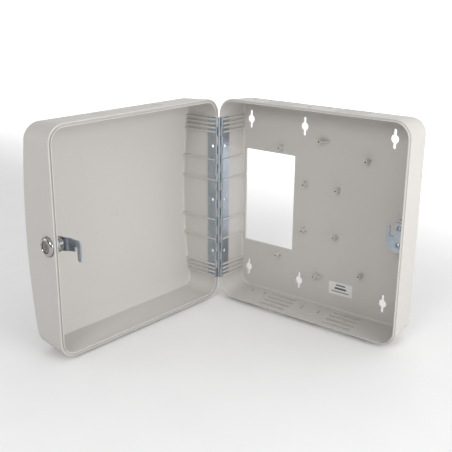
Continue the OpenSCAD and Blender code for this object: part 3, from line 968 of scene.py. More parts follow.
@dataclass(frozen=True)
class LabelFilm(Finish):
    """Satin printed film, with plain bars where a label has its rows."""

    ink: tuple[float, float, float] = (0.10, 0.10, 0.10)
    low: tuple[float, float, float] = (0.0, 0.0, 0.0)
    size: tuple[float, float] = (0.0355, 0.0178)

    def build(self, shader: Shader) -> bpy.types.Material:
        """Makes the film's nodes.

        Args:
            shader: the empty shader to fill.

        Returns:
            The finished material.
        """
        where = shader.place()
        fibre = shader.noise(where, 1400.0, 2.0)
        parts = shader.node("ShaderNodeSeparateXYZ", {}, {0: where}, output="Z")
        up = (parts - self.low[2]) * (1.0 / self.size[1])
        side = (shader.node("ShaderNodeSeparateXYZ", {}, {0: where}, output="X") - self.low[0]) * (
            1.0 / self.size[0])
        inked: Any = 0.0
        for middle, thick, reach in ((0.78, 0.10, 0.20), (0.52, 0.15, 0.24), (0.26, 0.06, 0.36)):
            across = up.distance(middle).above(thick / 2, 0.01)
            along = side.distance(0.5).above(reach, 0.004)
            inked = (1.0 - across) * (1.0 - along) + inked
        film = shader.blend(fibre, (0.66, 0.66, 0.65), self.colour)
        shader.set(
            Base_Color=shader.blend(inked.clamped(), film, self.ink),
            Roughness=self.rough + fibre * 0.1,
            Normal=shader.bump(fibre, 0.00001, 0.3),
            Coat_Weight=0.15,
        )
        return shader.material


@dataclass(frozen=True)
class PaleFloor(Finish):
    """Pale studio floor that glows as painted light: faintly next to the object and fully white further back."""

    def build(self, shader: Shader) -> bpy.types.Material:
        """Makes the floor's nodes.

        Args:
            shader: the empty shader to fill.

        Returns:
            The finished material.
        """
        where = shader.place()
        mottle = shader.noise(where, 14.0, 3.0)
        away = shader.node("ShaderNodeSeparateXYZ", {}, {0: where}, output="Y").above(0.10, 0.8)
        shader.set(
            Base_Color=shader.blend(mottle, self.colour, (0.78, 0.78, 0.78)),
            Roughness=self.rough,
            # Painted light: the floor glows, faintly next to the object and fully white further back, so the
            # background turns white while the real shade under the object stays.
            Emission_Color=shader.blend(away, (0.06, 0.06, 0.06), (1.0, 1.0, 1.0)),
            Emission_Strength=0.7,
        )
        return shader.material


SHELL = MouldedPlastic("satin_moulding", (0.55, 0.53, 0.505), 0.42)
ZINC = ZincPlate("bright_zinc_sheet", (0.46, 0.51, 0.56), 0.34)
SCREW = ZincPlate("bright_zinc_screw", (0.46, 0.49, 0.53), 0.30, (0.34, 0.38, 0.42), (500.0, 500.0, 500.0))
WIRE = ZincPlate("bright_drawn_wire", (0.50, 0.52, 0.54), 0.30, (0.40, 0.43, 0.46), (700.0, 700.0, 30.0))
CHROME = Polished("mirror_chrome", (0.44, 0.43, 0.42), 0.07)
CORE = Polished("worn_lock_face", (0.26, 0.235, 0.225), 0.38, (0.14, 0.125, 0.12), 0.6)
BRASS = Polished("stamped_brass", (0.72, 0.55, 0.28), 0.28, (0.45, 0.33, 0.16), 0.5)
FLOOR = PaleFloor("pale_floor", (0.74, 0.74, 0.74), 0.9)


# --- Studio -------------------------------------------------------------------------------------------------


@dataclass
class Studio:
    """Camera, soft lights, white surround and a pale floor that glows further back as painted light."""

    eye: tuple[float, float, float] = (0.50217, -0.84103, 0.29316)
    forward: tuple[float, float, float] = (-0.58325, 0.75006, -0.31181)
    up: tuple[float, float, float] = (-0.19674, 0.24200, 0.95012)
    lens: float = 60.62
    drop: float = 0.004
    bright: tuple[float, float, float] = (0.53, 0.66, 0.53)
    dim: float = 0.08

    def camera(self) -> None:
        """Makes the camera that the scene is seen through."""
        data = bpy.data.cameras.new("studio_camera")
        data.lens, data.sensor_width, data.clip_start = self.lens, 36.0, 0.02
        seen = bpy.data.objects.new("studio_camera", data)
        back = -Vector(self.forward)
        right = Vector(self.up).cross(back).normalized()
        top = back.cross(right)
        turned = Matrix((right, top, back)).transposed().to_4x4()
        seen.matrix_world = Matrix.Translation(self.eye) @ turned
        bpy.context.scene.collection.objects.link(seen)
        bpy.context.scene.camera = seen

    def lamp(self, name: str, place: Sequence[float], size: float, power: float,
             aim: Sequence[float]) -> None:
        """Adds one square softbox.

        Args:
            name: name of the lamp.
            place: where it hangs, in metres.
            size: length of its side.
            power: watts.
            aim: the point it faces.
        """
        data = bpy.data.lights.new(name, "AREA")
        data.shape, data.size, data.energy = "SQUARE", size, power
        lamp = bpy.data.objects.new(name, data)
        lamp.location = place
        lamp.rotation_euler = (Vector(aim) - Vector(place)).to_track_quat("-Z", "Y").to_euler()
        bpy.context.scene.collection.objects.link(lamp)

    def build(self, low: float) -> None:
        """Makes the lights, the surround and the floor.

        Args:
            low: height of the object's lowest point.
        """
        self.surround()
        bpy.context.scene.view_settings.view_transform = "Standard"
        middle = (0.0, -0.12, 0.0)
        self.lamp("key_softbox", (1.35, -0.25, 0.42), 0.8, 10.5, middle)
        self.lamp("front_softbox", (0.25, -1.35, 0.75), 0.45, 5.5, middle)
        self.lamp("fill_softbox", (-1.25, -1.05, 0.35), 0.7, 2.4, middle)
        self.sweep(low)

    def surround(self) -> None:
        """A white room that is darker behind the camera, so that polished metal has something to reflect."""
        world = bpy.data.worlds.new("studio_room")
        world.use_nodes = True
        tree = world.node_tree
        where, slope = tree.nodes.new("ShaderNodeTexCoord"), tree.nodes.new("ShaderNodeVectorMath")
        slope.operation = "DOT_PRODUCT"
        slope.inputs[1].default_value = self.bright
        level = tree.nodes.new("ShaderNodeMapRange")
        for key, value in ((1, -1.0), (2, 1.0), (3, self.dim), (4, 1.0)):
            level.inputs[key].default_value = value
        tree.links.new(where.outputs["Generated"], slope.inputs[0])
        tree.links.new(slope.outputs["Value"], level.inputs[0])
        tree.links.new(level.outputs[0], tree.nodes["Background"].inputs["Strength"])
        tree.nodes["Background"].inputs["Color"].default_value = (1, 1, 1, 1)
        bpy.context.scene.world = world

    def sweep(self, low: float) -> None:
        """Pale floor that curves up behind the object.

        Args:
            low: height of the object's lowest point.
        """
        z, reach, back, rise = low - self.drop, 5.0, 2.2, 1.6
        curve = arc(back, z + rise, rise, -90, 0, 16)
        side = [(-reach, z), *curve, (back + rise, z + reach)]
        mesh = bpy.data.meshes.new("floor")
        mesh.from_pydata([(x, y, h) for y, h in side for x in (-reach, reach)], [],
                         [(2 * k, 2 * k + 1, 2 * k + 3, 2 * k + 2) for k in range(len(side) - 1)])
        mesh.shade_smooth()
        mesh.materials.append(FLOOR.material())
        add_object("floor", mesh)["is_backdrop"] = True


# --- Shells -------------------------------------------------------------------------------------------------


class Side(Enum):
    """Which of the two shells."""

    BASE = "base"
    DOOR = "door"


@dataclass
class Shell:
    """Sizes that both shells share, in millimetres, and the tools that draw them."""

    side: Side
    width: float
    height: float
    depth: float
    skin: float
    bow: float = 0.0
    wall: float = 3.2
    corner: float = 22.0
    draft: float = 0.064
    edge: float = 5.0
    inner_edge: float = 2.5
    arc_steps: int = 14
    side_steps: int = 26
    rib_rise: float = 2.6
    rib_t: float = 1.8
    rib_pitch: float = 28.3
    group_t: float = 2.3
    group_pitch: float = 5.7
    group_inset: float = 2.3
    leaf: float = 0.95
    leaf_reach: float = 15.4
    leaf_gap: float = 0.1
    rim_cut: float = 2.35
    hinge_half: float = 114.3
    hole_v: float = 7.0
    hole_r: float = 2.2
    hole_pitch: float = 75.0
    window: tuple[float, float] = (8.8, 8.0)

    def path(self) -> list[tuple[float, float, float, float]]:
        """Rim outline from bottom to top on the right and back on the left: place and outward direction.

        Returns:
            Tuples (across, up, outwards across, outwards up).
        """
        w, h, r = self.width / 2, self.height / 2, self.corner
        right = []
        for k in range(self.arc_steps + 1):
            a = math.radians(-90 + 90 * k / self.arc_steps)
            right.append((w - r + r * math.cos(a), -h + r + r * math.sin(a), math.cos(a), math.sin(a)))
        right += [(w, (h - r) * (2 * k / self.side_steps - 1), 1.0, 0.0) for k in range(1, self.side_steps)]
        for k in range(self.arc_steps + 1):
            a = math.radians(90 * k / self.arc_steps)
            right.append((w - r + r * math.cos(a), h - r + r * math.sin(a), math.cos(a), math.sin(a)))
        return right + [(-x, z, -nx, nz) for x, z, nx, nz in right[::-1]]

    def sink(self, z: float) -> float:
        """How far the bowed front falls back at this height.

        Args:
            z: height from mid-height.

        Returns:
            The fall in millimetres.
        """
        return self.bow - math.sqrt(self.bow ** 2 - z ** 2) if self.bow else 0.0

    def ring(self, station: Callable[[float], tuple[float, float]]) -> Ring:
        """One ring of the shell; station gives (inset, depth) at each height.

        Args:
            station: gives (inset, depth) for a height.

        Returns:
            The points of the ring.
        """
        points = []
        for x, z, nx, nz in self.path():
            inward, v = station(z)
            points.append(Vector((self.width / 2 + x - inward * nx, v, z - inward * nz)))
        return points

    def far_round(self, far: float, edge: float, start: float, steps: int) -> list[Ring]:
        """Rings of the rounding where the walls turn into the panel, from the wall to the panel.

        Args:
            far: depth of the panel's face at its crown.
            edge: radius of the rounding.
            start: inset of the wall at the opening plane.
            steps: facets across the rounding.

        Returns:
            The rings in order.
        """
        rings = []
        for k in range(steps + 1):
            a = math.pi / 2 * k / steps

            def station(z: float, a: float = a) -> tuple[float, float]:
                """Inset and depth at height z.

                Args:
                    z: height from mid-height.
                    a: the facet's angle.

                Returns:
                    The pair (inset, depth).
                """
                v = far - self.sink(z)
                return start + self.draft * v + edge * (1 - math.cos(a)) * 0.99, v - edge * (1 - math.sin(a))

            rings.append(self.ring(station))
        return rings

    def shell_body(self, rim: Sequence[Flat]) -> bpy.types.Mesh:
        """The bare moulding: both skins and its rim.

        Args:
            rim: the rim's section as (inset, depth), from the outer wall to the inner wall.

        Returns:
            A closed mesh.
        """
        outer = self.far_round(self.depth, self.edge, 0.0, 8)
        inner = self.far_round(self.depth - self.skin, self.inner_edge, self.wall, 5)
        middle = [self.ring(lambda z, p=p: p) for p in rim]
        closing = "strips" if self.bow else "fan"
        return make_mesh(f"{self.side.value}_body", outer[::-1] + middle + inner, closing, closing)

    def floor_at(self, z: float) -> float:
        """Depth of the panel's inner face at this height.

        Args:
            z: height from mid-height.

        Returns:
            The depth in millimetres.
        """
        return self.depth - self.skin - self.sink(z)

    def slab(self, name: str, s0: float, s1: float, v0: float, v1: float, z0: float,
             z1: float) -> bpy.types.Mesh:
        """Block that follows the drafted hinge-side wall, between two distances from the rim.

        Args:
            name: name of the result.
            s0: near distance from the wall.
            s1: far distance from the wall.
            v0: first depth.
            v1: last depth.
            z0: low end.
            z1: high end.

        Returns:
            A closed mesh.
        """
        rings = [[Vector((s + self.draft * v, v, z)) for s, v in ((s0, v0), (s1, v0), (s1, v1), (s0, v1))]
                 for z in (z0, z1)]
        return make_mesh(name, rings)

    def rib(self, z: float, thick: float, crest: float = 0.45) -> bpy.types.Mesh:
        """One rib up the hinge-side wall, rounded along its crest, from beside the knuckles to the panel.

        Args:
            z: height of its middle.
            thick: thickness.
            crest: radius of the rounding along its crest.

        Returns:
            A closed mesh.
        """
        base, top = self.wall - 0.8, self.wall + self.rib_rise
        foot, root = thick / 2 + 0.35, self.wall - 0.02
        section = ([(base, -foot), (root, -foot), (root + 0.4, -thick / 2)]
                   + arc(top - crest, -thick / 2 + crest, crest, -90, 0, 3)
                   + arc(top - crest, thick / 2 - crest, crest, 0, 90, 3)
                   + [(root + 0.4, thick / 2), (root, foot), (base, foot)])
        near, far = self.rim_cut + 0.2, self.floor_at(abs(z) + thick / 2) + 1.2
        rings = []
        for v, shrink in ((near, 0.35), (near + 0.35, 0.0), (far, 0.0)):
            rings.append([Vector((min(s, top - shrink) + self.draft * v, v, z + t)) for s, t in section])
        return make_mesh("rib", rings)

    def hinge_ribs(self) -> list[bpy.types.Mesh]:
        """The single ribs and the groups at the hinge's ends.

        Returns:
            Closed meshes, one a rib.
        """
        singles = [(k * self.rib_pitch, self.rib_t) for k in (-2, -1, 1, 2)]
        groups = [(side * (self.hinge_half - self.group_inset - k * self.group_pitch), self.group_t)
                  for side in (-1, 1) for k in range(4)]
        return [self.rib(z, thick) for z, thick in singles + groups]

    def score_lines(self) -> list[bpy.types.Mesh]:
        """Faint raised lines that the mould's inserts leave across the hinge-side wall.

        Returns:
            Closed meshes, one a line.
        """
        lines = []
        for k in (-1, 1):
            z = k * self.hole_pitch
            s = self.wall - 0.3
            section = [(s, -0.35), (s + 0.45, -0.12), (s + 0.45, 0.12), (s, 0.35)]
            rings = [[Vector((a + self.draft * v, v, z + b)) for a, b in section]
                     for v in (self.leaf_reach + 1.5, self.floor_at(z) - 1.0)]
            lines.append(make_mesh("score_line", rings))
        return lines

    def hinge_cuts(self) -> tuple[bpy.types.Mesh, bpy.types.Mesh, list[bpy.types.Mesh]]:
        """Pocket of the leaf, cut-back rim and the windows behind the leaf's holes, one after the other.

        Returns:
            The pocket, the relief and the windows, to be cut one after the other.
        """
        half = self.hinge_half + 0.4
        pocket = self.slab("leaf_pocket", self.wall - self.leaf_gap, self.wall + self.leaf + self.leaf_gap,
                           -1.0, self.leaf_reach + self.leaf_gap, -half, half)
        relief = block("rim_relief", (-1.0, -4.0, -half - 0.001), (7.8, self.rim_cut, half + 0.001))
        near, (long, tall) = self.hole_v - self.hole_r, self.window
        windows = [self.slab("leaf_window", -2.0, self.wall, near, near + long, z - tall / 2, z + tall / 2)
                   for z in (k * self.hole_pitch for k in (-1, 0, 1))]
        return pocket, relief, windows

    def wall_map(self, s: float, v: float, up: int) -> Map:
        """Map for things on the top or bottom wall: across s, along v, outwards from the skin.

        Args:
            s: distance from the hinge-side rim.
            v: depth from the opening plane.
            up: 1 for the top wall, -1 for the bottom wall.

        Returns:
            The map.
        """
        tilt = math.atan(self.draft)
        z = self.height / 2 - self.draft * v
        return frame_map((s, v, up * z), (1, 0, 0), (0, math.cos(tilt), -up * math.sin(tilt)),
                         (0, math.sin(tilt), up * math.cos(tilt)))


@dataclass
class BaseShell(Shell):
    """The base: tongue round its rim, keyholes, cable opening, bosses, vents and knockouts."""

    land: float = 1.9
    tongue: float = 2.0
    key_rows: float = 215.9
    key_columns: tuple[float, ...] = (18.3, 104.4, 232.3)
    key_head: float = 5.5
    key_slot: float = 4.2
    key_length: float = 25.0
    cable: tuple[float, float, float] = (11.0, 80.5, 133.0)
    boss_rise: float = 9.9
    boss_r: float = 3.0
    pilot_r: float = 1.25
    bosses: list[Flat] = field(default_factory=list)
    pair: list[Flat] = field(default_factory=list)
    vent: tuple[float, float] = (42.0, 3.0)
    vent_pitch: float = 10.3
    vent_first: float = 7.0
    vent_off: float = 50.3
    knockouts: tuple[tuple[float, float, float], ...] = ((137.5, 27.0, 14.1), (47.0, 33.0, 11.1))
    strike: dict[str, float] = field(default_factory=dict)
    block_tall: float = 38.8

    def body(self) -> bpy.types.Mesh:
        """The bare base with its tongue.

        Returns:
            A closed mesh.
        """
        d = self.draft
        rim = [(d * 0.5, 0.5), (0.19, 0.15), (0.5, 0.0), (self.land - 0.2, 0.0), (self.land, -0.2),
               (self.land, -self.tongue + 0.35), (self.land + 0.1, -self.tongue + 0.1),
               (self.land + 0.35, -self.tongue), (self.wall - 0.45, -self.tongue),
               (self.wall - 0.2, -self.tongue + 0.1), (self.wall - d * 1.6, -self.tongue + 0.4)]
        return self.shell_body(rim)

    def panel_map(self, s: float, z: float) -> Map:
        """Map for things on the back panel: across s, along z, height out of the floor towards the opening.

        Args:
            s: distance from the hinge-side rim.
            z: height from mid-height.

        Returns:
            The map.
        """
        return frame_map((s, self.floor_at(0), z), (1, 0, 0), (0, 0, 1), (0, -1, 0))

    def keyhole_outline(self) -> list[Flat]:
        """Round middle with two narrow ends, up and down.

        Returns:
            Its points, anticlockwise.
        """
        r, n = self.key_head, self.key_slot / 2
        end = self.key_length / 2 - n
        meet = math.degrees(math.acos(n / r))
        return (arc(0, 0, r, -meet, meet, 14) + arc(0, end, n, 0, 180, 8)
                + arc(0, 0, r, 180 - meet, 180 + meet, 14) + arc(0, -end, n, 180, 360, 8))

    def openings(self) -> list[bpy.types.Mesh]:
        """Cutters for the keyholes and the cable opening.

        Returns:
            Closed cutters.
        """
        cuts = [opening("keyhole", self.keyhole_outline(), -self.skin, 0.0, 0.35,
                        self.panel_map(s, side * self.key_rows / 2))
                for s in self.key_columns for side in (-1, 1)]
        s0, w, h = self.cable
        cuts.append(opening("cable_opening", rounded_box(w, h, 1.0, 4), -self.skin, 0.0, 0.4,
                            self.panel_map(s0 + w / 2, 0.0)))
        return cuts

    def boss(self, s: float, z: float) -> bpy.types.Mesh:
        """Drafted screw boss with its pilot hole and a small foot.

        Args:
            s: distance from the hinge-side rim.
            z: height from mid-height.

        Returns:
            A closed mesh.
        """
        r, top = self.boss_r, self.boss_rise
        section = [(-1.5, 0.0), (-1.5, r + 0.9), (-0.01, r + 0.9), (0.45, r + 0.35), (1.1, r + 0.16),
                   (top - 0.4, r - 0.02), (top - 0.1, r - 0.13), (top, r - 0.4), (top, self.pilot_r + 0.3),
                   (top - 0.3, self.pilot_r), (top - 8.0, self.pilot_r), (top - 8.5, 0.0)]
        return lathe("boss", section, self.panel_map(s, z), 40)

    def boss_rib(self, s: float, z: float) -> bpy.types.Mesh:
        """Sloping rib beside a boss, on its latch side.

        Args:
            s: distance from the hinge-side rim.
            z: height from mid-height.

        Returns:
            A closed mesh.
        """
        top = self.boss_rise
        outline = [(1.7, -0.6), (11.0, -0.6), (11.0, 1.2), (10.4, 1.7), (4.2, top - 1.1), (1.7, top - 1.0)]
        to = frame_map((s, self.floor_at(0), z), (1, 0, 0), (0, -1, 0), (0, 0, 1))
        return plate("boss_rib", outline, -0.8, 0.8, 0.25, to, 2)

    def vents(self, rows: Rows) -> list[bpy.types.Mesh]:
        """Cutters for the vent slots, four to a group, repeated across the walls.

        Args:
            rows: the tool that repeats items.

        Returns:
            Cutters, one mesh a group.
        """
        long, wide = self.vent
        flat = (long - wide) / 2
        slot = arc(flat, 0, wide / 2, -90, 90, 10) + arc(-flat, 0, wide / 2, 90, 270, 10)
        cuts = []
        for up in (-1, 1):
            for side in (-1, 1):
                to = self.wall_map(self.width / 2 + side * self.vent_off, self.vent_first, up)
                cut = opening("vent", slot, -self.wall, 0.0, 0.4, to, 1.2)
                step = to(0, self.vent_pitch, 0) - to(0, 0, 0)
                cuts.append(tidy(rows.repeat(cut, 4, (0, 0, 0), step)))
        return cuts

    def knockout(self, s: float, v: float, r: float, up: int) -> tuple[bpy.types.Mesh, bpy.types.Mesh,
                                                                      list[bpy.types.Mesh]]:
        """Cutters for one knockout: a deep groove outside, a faint one inside and two slits right through.

        Args:
            s: distance from the hinge-side rim.
            v: depth from the opening plane.
            r: radius of the hole it leaves.
            up: 1 for the top wall, -1 for the bottom wall.

        Returns:
            The outer groove, the inner groove and the slits.
        """
        to = self.wall_map(s, v, up)
        web, w = 0.9, self.wall
        groove = [(1.0, r + 0.3), (-0.1, r + 0.12), (-0.35, r), (-w + web, r - 0.25), (-w + web, r - 1.55),
                  (-0.35, r - 1.8), (-0.1, r - 1.92), (1.0, r - 2.1)]
        faint = [(-w - 1.0, r + 0.4), (-w + 0.18, r - 0.45), (-w + 0.18, r - 0.95), (-w - 1.0, r - 1.8)]
        slits = []
        for turn in (0, 180):
            slit = arc(0, 0, r - 0.1, turn - 17, turn + 17, 6) + arc(0, 0, r - 1.5, turn + 17, turn - 17, 6)
            slits.append(prism("slit", slit, -w - 0.9, -w + web + 0.2, to))
        return lathe("knockout", groove, to, 72), lathe("knockout_inside", faint, to, 72), slits

    def strike_block(self) -> list[bpy.types.Mesh]:
        """Block on the latch-side wall that carries the strike plate.

        Returns:
            A list with the closed mesh.
        """
        k = self.strike
        left, top, reach, far = k["edge"] + 1.2, k["face"], self.width - self.wall / 2, self.floor_at(0)
        outline = [(left, top), (reach - self.draft * top, top), (reach - self.draft * far, far + 1),
                   (left + 6, far + 1), (left, top + 12)]
        low = k["low"] + 1.0
        return [plate("strike_block", outline, low, low + self.block_tall, 0.4, STRAIGHT, 3)]

    def strike_holes(self) -> list[bpy.types.Mesh]:
        """Pilot holes of the strike plate's screws.

        Returns:
            Closed cutters.
        """
        k = self.strike
        to = frame_map((k["screw"], k["face"], 0), (1, 0, 0), (0, 0, 1), (0, 1, 0))
        return [prism("pilot", [(x, y + z) for x, y in circle(1.8, 24)], -1.0, 11.0, to)
                for z in (k["screw_low"], k["screw_high"])]

    def build(self, rows: Rows, seat: Seat) -> None:
        """Builds the base and seats it.

        Args:
            rows: the tool that repeats items.
            seat: where the piece is placed.
        """
        adds = self.hinge_ribs() + self.score_lines() + self.strike_block()
        adds += [self.boss(s, z) for s, z in self.bosses + self.pair]
        pocket, relief, third = self.hinge_cuts()
        first, second = [pocket, *self.openings(), *self.vents(rows)], [relief, *self.strike_holes()]
        for up in (-1, 1):
            for s, v, r in self.knockouts:
                groove, faint, slits = self.knockout(s, v, r, up)
                first, second, third = first + [groove], second + [faint], third + slits
        mesh = carve("base_moulding", self.body(), [
            (Step.ADD, adds), (Step.ADD, [self.boss_rib(s, z) for s, z in self.pair]),
            (Step.CUT, first), (Step.CUT, second), (Step.CUT, third)])
        seat.put("base_moulding", mesh, SHELL, "shell_plastic", ["base_shell"])


@dataclass
class DoorShell(Shell):
    """The door: rebated rim, bowed front, lock pad and a recessed panel in its top wall."""

    gap: float = 0.4
    groove: tuple[float, float] = (1.55, 3.85)
    groove_v: float = 2.35
    lip: float = 1.3
    lip_v: float = 5.0
    lock_s: float = 273.24
    lock_v: float = 14.2
    nut_seat: float = 269.89
    barrel_r: float = 9.5
    flats: float = 15.9
    head_r: float = 11.8
    washer_r: float = 12.8
    pad_rise: float = 1.0

    def body(self) -> bpy.types.Mesh:
        """The bare door with its outer land, the groove for the base's tongue and its inner lip.

        Returns:
            A closed mesh.
        """
        d, top, (near, far) = self.draft, self.gap, self.groove
        inner = far + self.lip
        deep, end = self.groove_v, self.lip_v
        land = [(d * 1.1, top + 0.7), (0.22, top + 0.22), (0.7, top), (near - 0.3, top),
                (near - 0.08, top + 0.08), (near, top + 0.3)]
        groove = [(near, deep - 0.15), (near + 0.15, deep), (far - 0.15, deep), (far, deep - 0.15)]
        lip = [(far, top + 0.25), (far + 0.2, top + 0.05), (inner - 0.3, top + 0.05), (inner - 0.05, top + 0.3),
               (inner, end - 0.5), (inner - 0.2, end - 0.1), (inner - 0.6, end), (self.wall + d * end, end)]
        return self.shell_body(land + groove + lip)

    def lip_gaps(self) -> list[bpy.types.Mesh]:
        """Cutters that take the inner lip away along the hinge and behind the lock's washer.

        Returns:
            Closed cutters.
        """
        half, r = self.hinge_half + 0.4, self.washer_r + 1.0
        along = self.slab("lip_gap", self.wall + 0.5, self.wall + self.rib_rise + 1.0, -1.0, self.lip_v + 0.6,
                          -half, half)
        return [along, rod("lip_disc", r, self.nut_seat - 3.0, self.nut_seat + 0.2, self.lock_map(), 72)]

    def pad_groove(self) -> bpy.types.Mesh:
        """Cutter that takes the groove across the lock's pad, so that the base's tongue clears it.

        Returns:
            A closed cutter.
        """
        slack, half, (near, far) = 0.05, self.washer_r + 1.0, self.groove
        return block("pad_groove", (self.width - far + slack, -1.0, -half),
                             (self.width - near - slack, self.groove_v - slack, half))

    def lock_map(self) -> Map:
        """Map for round things about the lock's axis: across v, along z, outwards along s.

        Returns:
            The map.
        """
        return frame_map((0, self.lock_v, 0), (0, 1, 0), (0, 0, 1), (1, 0, 0))

    def lock_cuts(self) -> tuple[bpy.types.Mesh, bpy.types.Mesh]:
        """Flatted hole of the barrel, and the seat of its head.

        Returns:
            The hole and the seat, as cutters.
        """
        to = self.lock_map()
        r, h = self.barrel_r + 0.1, self.flats / 2 + 0.1
        a = math.degrees(math.asin(h / r))
        outline = arc(0, 0, r, -a, a, 12) + arc(0, 0, r, 180 - a, 180 + a, 12)
        hole = prism("barrel_hole", outline, self.nut_seat - 1.0, self.lock_s + 3.0, to)
        at = self.lock_s
        seat = [(at, 0.0), (at, self.head_r + 0.25), (at + 0.45, self.head_r + 0.3),
                (at + 4.0, self.head_r + 1.6), (at + 4.0, 0.0)]
        return hole, lathe("head_seat", seat, to, 72)

    def lock_pad(self) -> bpy.types.Mesh:
        """Round pad that the nut bears on.

        Returns:
            A closed mesh.
        """
        r = 22.2 / 2 + 1.6
        section = [(self.nut_seat, 0.0), (self.nut_seat, r - 0.4), (self.nut_seat + 0.12, r - 0.12),
                   (self.nut_seat + 0.4, r), (self.width - self.wall / 2 - self.draft * self.lock_v, r),
                   (self.width - self.wall / 2 - self.draft * self.lock_v, 0.0)]
        return lathe("lock_pad", section, self.lock_map(), 72)

    def top_panel(self, rows: Rows) -> tuple[bpy.types.Mesh, bpy.types.Mesh]:
        """Cutter of the shallow panel in the top wall, and the three plain bars that stand in it.

        Args:
            rows: the tool that repeats items.

        Returns:
            The cutter and the bars.
        """
        to = self.wall_map(self.width / 2 + 2, 27.0, 1)
        floor = make_mesh("top_panel", [[to(x, y, h) for x, y in rounded_box(104.6 + grow, 22.6 + grow, 2.3)]
                                        for h, grow in ((-0.7, -0.5), (-0.35, 0.0), (1.0, 0.8))])
        bar = plate("bar", rounded_box(92, 3.2, 1.2), -1.2, -0.12, 0.25, to, 2)
        step = to(0, 6.5, 0) - to(0, 0, 0)
        return floor, tidy(rows.repeat(bar, 3, -step, step))

    def gate_marks(self) -> list[bpy.types.Mesh]:
        """Faint ring and nub that the mould's gate leaves inside the front panel, and an ejector ring.

        Returns:
            Closed meshes.
        """
        marks = []
        for s, z, r in ((135.5, 0.0, 5.2), (42.0, 10.0, 2.0)):
            to = frame_map((s, self.floor_at(z), z), (1, 0, 0), (0, 0, 1), (0, -1, 0))
            ring = [(-1.0, r - 0.45), (0.0, r - 0.3), (0.22, r - 0.1), (0.22, r + 0.1), (0.0, r + 0.3),
                    (-1.0, r + 0.45)]
            nub = [(-1.0, 0.0), (-1.0, 0.9), (0.3, 0.8), (0.5, 0.5), (0.55, 0.0)]
            marks += [lathe("gate_ring", ring, to, 40), lathe("gate_nub", nub, to, 24)]
        return marks

    def build(self, rows: Rows, seat: Seat) -> None:
        """Builds the door and seats it.

        Args:
            rows: the tool that repeats items.
            seat: where the piece is placed.
        """
        panel, bars = self.top_panel(rows)
        pins = []
        for side in (-1, 1):
            to = frame_map((24.0, self.gap, side * (self.height / 2 - 0.8)), (1, 0, 0), (0, 0, 1), (0, 1, 0))
            pins.append(prism("pinhole", circle(0.6, 16), -1.0, 2.0, to))
        adds = self.hinge_ribs() + self.score_lines() + self.gate_marks() + [self.lock_pad()]
        (pocket, relief, windows), (hole, head) = self.hinge_cuts(), self.lock_cuts()
        mesh = carve("door_moulding", self.body(), [
            (Step.CUT, self.lip_gaps()), (Step.ADD, adds),
            (Step.CUT, [pocket, hole, panel, self.pad_groove(), *pins]), (Step.CUT, [relief, head]),
            (Step.CUT, windows), (Step.ADD, [bars])])
        seat.put("door_moulding", mesh, SHELL, "shell_plastic", ["door_shell"])


# --- Hinge --------------------------------------------------------------------------------------------------


